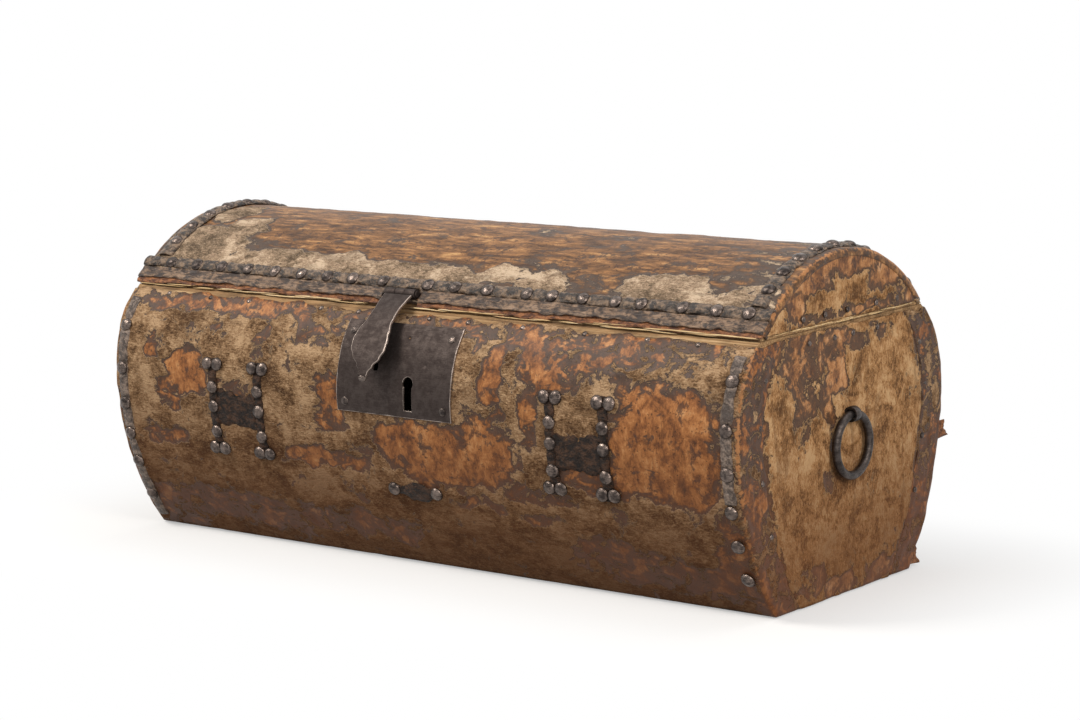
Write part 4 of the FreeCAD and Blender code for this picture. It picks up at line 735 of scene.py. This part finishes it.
# Radius and rise of each kind of head
DOMED, TACK, FLAT = (7.0, 4.2), (2.8, 1.4), (4.0, 1.2)
for name, body, (radius, rise) in (
    ("lid_edge_nails", "lid", DOMED), ("lid_arch_nails", "lid", DOMED), ("lid_end_tacks", "lid", TACK),
    ("lid_iron_nails", "lid", FLAT), ("body_edge_nails", "box", DOMED), ("keeper_nails", "box", DOMED),
    ("tab_nails", "box", DOMED), ("body_tacks", "box", TACK), ("body_iron_nails", "box", FLAT),
):
    nail_heads(name, body, radius, rise)


# Straps: a strip that puffs up between its nails and is pinched down at each
def nailed_strip(name, body, nodes, ends, width, place, pinches, puff=3.2, material=strap):
    """place gives a point of the surface and its way out, from a run and a distance across the strip."""
    low, high = ends

    def point(across, along):
        run = low + across * (high - low)
        waver = 1.7 * rough((run, 40 * along, len(name) * 31), 11.0)
        spot, way = place(run, along * width + waver * (2 * along - 1))
        pinched = min([1.0] + [ease(abs(run - pinch), 4.0, 10.0) for pinch in pinches])
        crown = math.sqrt(max(0.0, 1.0 - (2 * along - 1) ** 2))
        crease = 0.9 * rough((run * 1.4, along * 5, len(name)), 4.5)
        return spot + way * max(0.2, 0.5 + crown * (0.8 + puff * pinched) + crease * crown)

    piece = sheet(name, max(8, int((high - low) / 1.9)), 12, point)
    return dress(thicken(piece, STRAP_THICKNESS), body, material, "strap_leather", *nodes)


def on_lid(start, side=-1):
    """Places along the lid, and up it from a distance above its front edge, or its back edge if side is 1."""
    def place(run, distance):
        y, z, way = lid_frame(start + distance)
        if side > 0:
            return Vector((-run, -y, z)), Vector((0, -way.y, way.z))
        return Vector((run, y, z)), way
    return place


TRIM_START, TRIM_WIDTH = 21.5, 14.0
edge_crowns = [crown for crown, way in nail_places("lid_edge_nails")]
front_nails = sorted(crown.x for crown in edge_crowns if crown.y < 0)
back_nails = sorted(-crown.x for crown in edge_crowns if crown.y > 0)
nailed_strip("lid_front_trim", "lid", ("lid_front_strip",), (-381.5, 381.5), TRIM_WIDTH, on_lid(TRIM_START),
             front_nails)
for part, nodes, ends in (("left", (), (-374.0, -259.0)), ("middle", ("lid_back_strip",), (-212.0, 212.0)),
                          ("right", (), (259.0, 374.0))):
    nailed_strip("lid_back_trim_" + part, "lid", nodes, ends, TRIM_WIDTH, on_lid(TRIM_START, 1), back_nails)

# Half the gap in the lip where the hasp's barrel sits
BARREL_GAP = 21.5


def at_barrel(point):
    return abs(point.x - HASP_MIDDLE) < BARREL_GAP and point.y < 0


# The wrinkled lip of leather under the trim, and the raw edge of the hide that shows below it
def lip(name, low, high, outset, wave, material):
    on_edge = on_lid(0)

    def place(across, along):
        run = (across - 0.5) * 2 * (HALF_LENGTH + 0.5)
        key = Vector((run, -77, low * 9))
        foot = low + wave * rough(key, 24.0)
        spot, way = on_edge(run, foot + along * (high - foot))
        fold = 1.1 * math.sin(along * 6.0 + 2.6 * rough(key, 48.0)) * (1 - along)
        return spot + way * (outset + fold + 0.6 * rough(key + Vector((0, along * 12, 0)), 12.0))

    piece = sheet(name, 380, 8, place, gone=at_barrel)
    return dress(thicken(piece, 1.4), "lid", material, "strap_leather")


lip("lid_front_lip", 8.0, 21.0, 2.4, 2.6, lip_leather)
lip("lid_front_raw_edge", 3.2, 10.5, 1.0, 1.8, edge_leather)

# The strips up the lid's ends: how far in from the end, how wide, and how far short of the seam they stop
ARCH_INSET, ARCH_WIDTH, ARCH_MARGIN = 18.0, 17.0, 36.5


def arch_trim(name, end, node_name):
    crowns = [crown for crown, way in nail_places("lid_arch_nails") if crown.x * end > 0]
    nails = sorted(LID_RADIUS * (math.atan2(crown.z - LID_CENTRE, -crown.y) - SEAM_ANGLE) for crown in crowns)

    def place(run, distance):
        y, z, way = lid_frame(run)
        return Vector((end * (HALF_LENGTH - ARCH_INSET - (distance - ARCH_WIDTH / 2)), y, z)), way

    return nailed_strip(name, "lid", (node_name,), (ARCH_MARGIN, LID_ARC - ARCH_MARGIN), ARCH_WIDTH, place,
                        nails, 2.4)


arch_trim("arch_trim_right", 1, "lid_arch_strip_right")
arch_trim("arch_trim_left", -1, "lid_arch_strip_left")

# The strips down the body's corners. The one of the right front corner is torn off below its middle
CORNER_INSET, CORNER_WIDTH, CORNER_FOOT, CORNER_TOP = 12.0, 13.0, 12.0, 240.0
TORN_FOOT = 112.0


def corner_trim(name, side, end, node_name):
    nails = sorted(crown.z for crown, way in nail_places("body_edge_nails")
                   if crown.x * end > 0 and crown.y * side > 0)

    def place(run, distance):
        across = distance if side > 0 else CORNER_WIDTH - distance
        x = end * (HALF_LENGTH - CORNER_INSET) + across - CORNER_WIDTH / 2
        return Vector((x, body_y(run, side), run)), body_normal(run, side)

    foot = TORN_FOOT if side < 0 < end else CORNER_FOOT
    return nailed_strip(name, "box", (node_name,), (foot, CORNER_TOP), CORNER_WIDTH, place, nails, 1.6,
                        worn_strap)


for side, side_name in ((-1, "front"), (1, "back")):
    for end, end_name in ((1, "right"), (-1, "left")):
        corner_trim("%s_corner_trim_%s" % (side_name, end_name), side, end, side_name + "_edge_strips")


# Strap keepers: two nailed strips up the front, with a crumpled patch between them
KEEPER_WIDTH, KEEPER_HALF_GAP = 12.0, 30.0
# A nail that is this near to a strip's middle line holds it
NAIL_REACH = 10.0
PATCH_WIDTH, PATCH_LOW, PATCH_HIGH = 52.0, 124.0, 160.0
keeper_crowns = [crown for crown, way in nail_places("keeper_nails")]


def keeper_strip(name, line):
    heights = sorted(crown.z for crown in keeper_crowns if abs(crown.x - line) < NAIL_REACH)

    def place(run, distance):
        x = line + KEEPER_WIDTH / 2 - distance
        return Vector((x, body_y(run, -1), run)), body_normal(run, -1)

    return nailed_strip(name, "box", ("keeper_strips",), (heights[0] - 5, heights[-1] + 5), KEEPER_WIDTH,
                        place, heights, 1.8, patch_leather)


def keeper_patch(name, middle):
    def place(across, along):
        x = middle + (across - 0.5) * PATCH_WIDTH
        low = PATCH_LOW + 3.0 * rough((x, middle, 1), 11.0)
        high = PATCH_HIGH + 4.5 * rough((x, middle, 5), 12.0)
        height = low + along * (high - low)
        key = (x, middle, height)
        swell = 1.6 + 1.2 * rough(key, 14.0) + 0.5 * rough(key, 4.0)
        return front_point(x, height, max(0.4, swell * min(1.0, 8 * along, 8 * (1 - along)) + 0.5))

    piece = thicken(sheet(name, 34, 24, place), STRAP_THICKNESS)
    return dress(piece, "box", patch_leather, "strap_leather", "keeper_patches")


for side_name, middle in (("left", -214.0), ("right", 205.0)):
    for row in (-KEEPER_HALF_GAP, KEEPER_HALF_GAP):
        row_name = "outer" if row * middle > 0 else "inner"
        keeper_strip("keeper_%s_%s" % (side_name, row_name), middle + row)
    keeper_patch("keeper_patch_" + side_name, middle)


# The scrap of a strap under the lock, narrow under its two nails and curled between them
SCRAP_MIDDLE, SCRAP_HEIGHT, SCRAP_LENGTH, SCRAP_WIDTH = 3.0, 82.0, 62.0, 15.0


def scrap(across, along):
    x = SCRAP_MIDDLE + (across - 0.5) * SCRAP_LENGTH
    spread = 0.55 + 0.65 * ease(0.30 - abs(across - 0.56), 0.0, 0.20)
    height = SCRAP_HEIGHT + (along - 0.5) * SCRAP_WIDTH * spread + 1.5 * rough((x, 3, 0), 12.0)
    swell = 2.2 + 1.8 * math.sin(math.pi * along) * ease(0.40 - abs(across - 0.54), 0.0, 0.30)
    return front_point(x, height, swell + 0.4 * rough((x, height, 9), 6.0))


strap_scrap = thicken(sheet("strap_scrap_worn", 40, 14, scrap), STRAP_THICKNESS)
dress(strap_scrap, "box", patch_leather, "strap_leather", "strap_scrap")


# The hasp: a wrought leaf that curves with the front, hung a little out, with barrel, loop and rolled tip.
# Its outline is given by shares of its drop, each with a share of its widest half width
HASP_OUTLINE = (
    (0.00, 0.80), (0.10, 0.76), (0.22, 0.70), (0.36, 0.74), (0.48, 0.90), (0.58, 1.0), (0.68, 0.98),
    (0.78, 0.78), (0.87, 0.46), (0.95, 0.25), (1.0, 0.24),
)
HASP_AXIS = Vector((HASP_MIDDLE, -132.831, 266.0))
HASP_DROP = 81.0
HASP_HALF_WIDTH = 21.0
HASP_THICKNESS = 2.8
HASP_STAND_OFF = 5.4
HASP_SWING = 9.2
LEAF_START = 0.04
BARREL_RADIUS, BARREL_LENGTH = 4.6, 11.9
KNOB_RADII = (4.8, 3.4, 3.7)
# The bars of the loop behind the leaf: their top and foot as shares of its drop, and how far their outer and
# inner faces stand out of the front
LOOP_BARS = ((0.664, 0.692, 3.0, -8.0), (0.811, 0.839, 3.0, -8.0), (0.664, 0.839, -5.9, -8.0))
LOOP_WIDTH = 4.0


def hasp_half_width(share):
    for (low, first), (high, second) in zip(HASP_OUTLINE, HASP_OUTLINE[1:]):
        if share <= high:
            return HASP_HALF_WIDTH * (first + (second - first) * ease(share, low, high))
    return HASP_HALF_WIDTH * HASP_OUTLINE[-1][1]


def hasp_bow(share):
    """How far the leaf is bent to one side."""
    return 1.4 * math.sin(share * 9.0) * share


def swung(point, degrees=HASP_SWING):
    """From the shut hasp to where it hangs in the photograph's pose."""
    turn = Matrix.Rotation(math.radians(degrees), 3, Vector((-1, 0, 0)))
    return HASP_AXIS + turn @ (point - HASP_AXIS)


def hasp_leaf_point(across, along):
    share = LEAF_START + (1 - LEAF_START) * along
    height = HASP_AXIS.z - HASP_DROP * share
    x = HASP_AXIS.x + (0.5 - across) * 2 * hasp_half_width(share) + hasp_bow(share)
    ripple = 0.35 * rough((x, height, 3), 16.0)
    return swung(Vector((x, iron_y(height, HASP_STAND_OFF) - ripple, height)))


def hasp_edge(point):
    """How near a point of the hasp's leaf is to its edge, from 0 to 1, which paints the edge pale: partly
    worn polish, partly a painted highlight.
    """
    share = (HASP_AXIS.z - swung(point, -HASP_SWING).z) / HASP_DROP
    return ease(abs(point.x - HASP_AXIS.x - hasp_bow(share)) / hasp_half_width(share), 0.90, 1.0)


def add_barrel(shape):
    place = Matrix.Translation(HASP_AXIS * MM) @ Matrix.Rotation(math.pi / 2, 4, "Y")
    rod = bmesh.ops.create_cone(shape, cap_ends=True, segments=24, radius1=BARREL_RADIUS * MM,
                                radius2=BARREL_RADIUS * MM, depth=BARREL_LENGTH * MM, matrix=place)
    rims = {edge for vert in rod["verts"] for edge in vert.link_edges if edge.calc_face_angle() > 1.2}
    bmesh.ops.bevel(shape, geom=list(rims), affect="EDGES", offset=0.5 * MM, segments=2, profile=0.5,
                    material=-1)


def add_knob(shape):
    """The tip of the leaf, rolled up to a small knob, with a painted highlight on it."""
    tip = hasp_leaf_point(0.5, 1.0)
    place = Matrix.Translation(Vector((HASP_AXIS.x, tip.y - 0.2, tip.z - 1.2)) * MM)
    sizes = Matrix.Diagonal([radius * MM for radius in KNOB_RADII] + [1.0])
    knob = bmesh.ops.create_uvsphere(shape, u_segments=20, v_segments=12, radius=1.0, matrix=place @ sizes)
    bright = shape.verts.layers.float["rub_and_highlight"]
    # This rub value on the knob is a painted highlight
    for vert in knob["verts"]:
        vert[bright] = 0.45


def add_loop_bar(shape, top_share, foot_share, outer, inner):
    top, foot = (HASP_AXIS.z - HASP_DROP * share for share in (top_share, foot_share))
    middle = (foot + top) / 2
    face = iron_y(middle, 0)
    for vert in bmesh.ops.create_cube(shape, size=1.0)["verts"]:
        local = vert.co
        out = outer if local.y < 0 else inner
        spot = Vector((HASP_AXIS.x + local.x * LOOP_WIDTH, face - out, middle + local.z * (top - foot)))
        vert.co = swung(spot) * MM


def hasp():
    leaf = sheet("hasp_leaf_blade", 24, 72, hasp_leaf_point, rub_and_highlight=hasp_edge)
    shape = bmesh.new()
    shape.from_mesh(leaf.data)
    bpy.data.objects.remove(leaf)
    bmesh.ops.solidify(shape, geom=shape.faces[:], thickness=-HASP_THICKNESS * MM)
    sharp = [edge for edge in shape.edges if len(edge.link_faces) == 2 and edge.calc_face_angle() > 0.9]
    bmesh.ops.bevel(shape, geom=sharp, affect="EDGES", offset=0.6 * MM, segments=2, profile=0.5, material=-1)
    add_barrel(shape)
    add_knob(shape)
    for bar in LOOP_BARS:
        add_loop_bar(shape, *bar)
    bmesh.ops.recalc_face_normals(shape, faces=shape.faces)
    return dress(finish("hasp_forged", shape), "hasp", plate_iron, "plate_iron", "hasp")


hasp()


# Splinters of raw wood along the seam, between these places along the box and across it
SEAM_REACH, END_REACH = 372.0, 108.0


def splinters(name, spots):
    """Each is a long chip, tapered to its ends: middle, its ways along and out, half length and thickness."""
    shape = bmesh.new()
    for middle, along, out, half, thick in spots:
        up = along.cross(out).normalized()
        start = len(shape.verts)
        chip = bmesh.ops.create_cube(shape, size=2.0)["verts"]
        long_edges = [edge for edge in {e for v in chip for e in v.link_edges}
                      if abs(edge.verts[0].co.x - edge.verts[1].co.x) > 1]
        bmesh.ops.subdivide_edges(shape, edges=long_edges, cuts=3, use_grid_fill=True)
        shape.verts.ensure_lookup_table()
        for vert in shape.verts[start:]:
            local = vert.co.copy()
            taper = 1.0 - 0.75 * local.x ** 2
            line = middle + along * (local.x * half)
            spot = line + out * (local.y * thick * taper + 0.5 * rough(line, 9.0))
            vert.co = (spot + up * (local.z * thick * 0.7 * taper)) * MM
    bmesh.ops.recalc_face_normals(shape, faces=shape.faces)
    return dress(finish(name, shape), "lid", sliver_wood, "board")


chance = random.Random(7)


def along_seam(side, count):
    """Spots along the front or the back, with none behind the hasp."""
    spots = []
    for number in range(count):
        x = -SEAM_REACH + 2 * SEAM_REACH * (number + chance.random()) / count
        if abs(x - HASP_MIDDLE) < 30 and side < 0:
            continue
        y = side * (body_y(SEAM, 1) - 1.6)
        height = SEAM + chance.uniform(0.9, 4.0)
        tilt = chance.uniform(-0.02, 0.02)
        spots.append((Vector((x, y, height)), Vector((1, 0, tilt)).normalized(), Vector((0, side, 0)),
                      chance.uniform(8, 30), chance.uniform(0.5, 1.0)))
    return spots


def along_end(end, count):
    spots = []
    for number in range(count):
        y = -END_REACH + 2 * END_REACH * (number + chance.random()) / count
        height = SEAM + chance.uniform(1.0, 3.6)
        tilt = chance.uniform(-0.04, 0.04)
        spots.append((Vector((end * (HALF_LENGTH - 1.6), y, height)), Vector((0, 1, tilt)).normalized(),
                      Vector((end, 0, 0)), chance.uniform(6, 20), chance.uniform(0.5, 1.0)))
    return spots


splinters("seam_splinters", along_seam(-1, 44) + along_end(1, 16) + along_seam(1, 24) + along_end(-1, 10))


# Torn flaps of hide at the rear of the right end
def flap(name, corner, across, up, bend):
    """A tongue that narrows upwards from a corner and bends away from the end."""
    def place(u, v):
        ragged = 1 + 0.35 * rough((v * 9, corner.z, 0), 3.0)
        spot = corner + across * (u * (1 - 0.6 * v) * ragged) + up * v
        lift = bend * (u ** 2 + 0.4 * v) + 0.6 * rough(spot, 5.0)
        return spot + Vector((lift, 0, 0))

    return dress(thicken(sheet(name, 14, 14, place), 1.1), "box", edge_leather, "hide")


flap("torn_flap_upper", Vector((377.5, 165, 116)), Vector((0, 19, 3)), Vector((0, 2, 18)), 3.0)
flap("torn_flap_lower", Vector((377.5, 116, 4)), Vector((0, 15, -1)), Vector((0, 5, 18)), 1.5)


# The lock plate, with its keyhole and the slot for the hasp's loop
KEYHOLE = Vector((8.0, 188.0))
KEYHOLE_RADIUS, KEYHOLE_HALF_WIDTH, KEYHOLE_FOOT = 6.2, 4.4, 162.5
SLOT_HALF_WIDTH, SLOT_LOW, SLOT_HIGH = 3.0, 197.5, 221.5
PLATE_THICKNESS = 2.0
# Small dents in the plate: place along and up, and depth
PLATE_DENTS = (
    (-0.4, 228.0, 1.5), (26.8, 220.0, 0.7), (26.6, 206.0, 0.9), (34.4, 182.5, 0.8), (-14.0, 168.0, 0.6),
)


def in_opening(point):
    spot = Vector((point.x, point.z))
    foot = abs(spot.x - KEYHOLE.x) < KEYHOLE_HALF_WIDTH - 0.1 and KEYHOLE_FOOT + 0.1 < spot.y < KEYHOLE.y
    slot = abs(spot.x - HASP_MIDDLE) < SLOT_HALF_WIDTH - 0.1 and SLOT_LOW < spot.y < SLOT_HIGH
    return foot or slot or (spot - KEYHOLE).length < KEYHOLE_RADIUS - 0.05


def lock_plate():
    low, high = (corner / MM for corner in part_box("lock_plate"))
    width, height = round(high.x - low.x), round(high.z - low.z)

    def place(across, along):
        x, z = low.x + across * width, low.z + along * height
        # Points near the keyhole's round part are drawn onto its rim
        from_hole = Vector((x, z)) - KEYHOLE
        if KEYHOLE_RADIUS - 0.6 < from_hole.length < KEYHOLE_RADIUS + 0.6:
            x, z = KEYHOLE + from_hole.normalized() * KEYHOLE_RADIUS
        y = iron_y(z, PLATE_THICKNESS)
        for dent_x, dent_z, depth in PLATE_DENTS:
            y += depth * ease(2.6 - math.hypot(x - dent_x, z - dent_z), 0.0, 2.2)
        edge = ease(abs(across - 0.5), 0.45, 0.5)
        return Vector((x + 0.7 * edge * rough((z, 5, 0), 18.0), y + 0.3 * rough((x, z, 2), 17.0), z))

    def polish_and_highlight(point):
        """The sides, the foot and the keyhole's rim are painted pale: partly polish from wear, partly a
        painted highlight.
        """
        to_side = min(point.x - low.x, high.x - point.x, point.z - low.z)
        if point.z < KEYHOLE.y:
            to_keyhole = max(abs(point.x - KEYHOLE.x) - KEYHOLE_HALF_WIDTH, KEYHOLE_FOOT - point.z)
        else:
            to_keyhole = (Vector((point.x, point.z)) - KEYHOLE).length - KEYHOLE_RADIUS
        return 0.7 * ease(1.6 - min(to_side, to_keyhole), 0.0, 1.4) + 0.2 * rough(point, 12.0)

    # One point a millimetre
    piece = sheet("lock_plate_forged", width, height, place, rub_and_highlight=polish_and_highlight, gone=in_opening)
    soften(thicken(piece, PLATE_THICKNESS), 0.5)
    return dress(piece, "box", plate_iron, "plate_iron", "lock_plate")


lock_plate()


# CAD nodes that keep their own shape, each with its real finish
FINISHES = {
    wood: [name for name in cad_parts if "board" in name or "stave" in name],
    plate_iron: ["lock_case", "lock_bolt", "bolt_spring", "hasp_leaf", "hasp_pin",
                 "hinge_body_leaf_left", "hinge_body_leaf_right", "hinge_lid_leaf_left",
                 "hinge_lid_leaf_right", "hinge_pins"],
    ring_iron: ["ring_left", "ring_right", "ring_staple_left", "ring_staple_right"],
}
for material, names in FINISHES.items():
    for name in names:
        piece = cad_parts[name]
        piece.data.materials.clear()
        piece.data.materials.append(material)
        if material is not wood:
            # The loose triangles of the solid are joined, so that its edges can be softened
            weld = piece.modifiers.new("weld", "WELD")
            weld.merge_threshold = 0.005 * MM
            soften(piece, 0.4)


# Studio: a pale floor, a white surround and soft lamps
def add_lamp(name, place, aim, size, power, shade):
    data = bpy.data.lights.new(name, "AREA")
    data.shape = "RECTANGLE"
    data.size, data.size_y = size
    data.energy = power
    data.color = linear(shade)[:3]
    lamp = bpy.data.objects.new(name, data)
    lamp.location = place
    lamp.rotation_euler = (Vector(aim) - Vector(place)).to_track_quat("-Z", "Y").to_euler()
    bpy.context.collection.objects.link(lamp)


add_lamp("key", (-1.5, -1.7, 2.6), (0, 0, 0.2), (1.0, 1.0), 78.0, "fffaf2")
add_lamp("right", (2.7, -1.1, 1.5), (0.1, 0, 0.15), (1.4, 1.4), 54.0, "fff8f0")
add_lamp("top", (0.3, 0.9, 2.6), (0, 0, 0.2), (2.2, 1.4), 16.0, "ffffff")


def from_camera(owner):
    """1 for the camera and for what metal and glass mirror."""
    path = node(owner, "LightPath").outputs
    seen = node(owner, "Math", {0: path["Is Camera Ray"], 1: path["Is Glossy Ray"]}, operation="MAXIMUM")
    return node(owner, "Math", {0: seen.outputs[0], 1: path["Is Transmission Ray"]},
                operation="MAXIMUM").outputs[0]


# White paper sweep. Within these half lengths of its middle it takes the box's shadow, and over a further
# width it turns plain white to the camera, all in metres
SHADED = (0.38, 0.12, 0.0)
SHADE_FADE = 0.26
floor_shape = bmesh.new()
bmesh.ops.create_grid(floor_shape, x_segments=1, y_segments=1, size=14.0)
floor = finish("floor", floor_shape)
# Just under the box, so that the two faces don't meet
floor.location.z = -0.0005
paper = new_material("white_paper_sweep")
spot = node(paper, "TexCoord").outputs["Object"]
spot = node(paper, "VectorMath", {0: spot}, operation="ABSOLUTE").outputs[0]
apart = node(paper, "VectorMath", {0: spot, 1: SHADED}, operation="SUBTRACT").outputs[0]
apart = node(paper, "VectorMath", {0: apart, 1: (0.0, 0.0, 0.0)}, operation="MAXIMUM").outputs[0]
away = node(paper, "VectorMath", {0: apart}, operation="LENGTH").outputs["Value"]
whiteness = node(paper, "MapRange", {"Value": away, "From Max": SHADE_FADE, "To Min": 0.42},
                 interpolation_type="SMOOTHSTEP").outputs[0]
seen = from_camera(paper)
whiteness = node(paper, "Math", {0: seen, 1: whiteness}, operation="MULTIPLY").outputs[0]
shade = node(paper, "Mix", {0: seen, 6: linear("9a9690"), 7: linear("f4f4f4")}, data_type="RGBA").outputs[2]
matt = node(paper, "BsdfDiffuse", {"Color": shade}).outputs[0]
glow = node(paper, "Emission", {"Color": linear("ffffff"), "Strength": 1.0}).outputs[0]
mixed = node(paper, "MixShader", {0: whiteness, 1: matt, 2: glow})
node(paper, "OutputMaterial", {"Surface": mixed.outputs[0]})
floor.data.materials.append(paper)

world = bpy.data.worlds.new("studio")
bpy.context.scene.world = world
world.use_nodes = True
world.node_tree.nodes.clear()
level = node(world, "Mix", {0: from_camera(world), 2: 0.36, 3: 1.0}, data_type="FLOAT").outputs[0]
sky = node(world, "Background", {"Color": linear("ffffff"), "Strength": level})
node(world, "OutputWorld", {"Surface": sky.outputs[0]})

bpy.context.scene.view_settings.view_transform = "Standard"
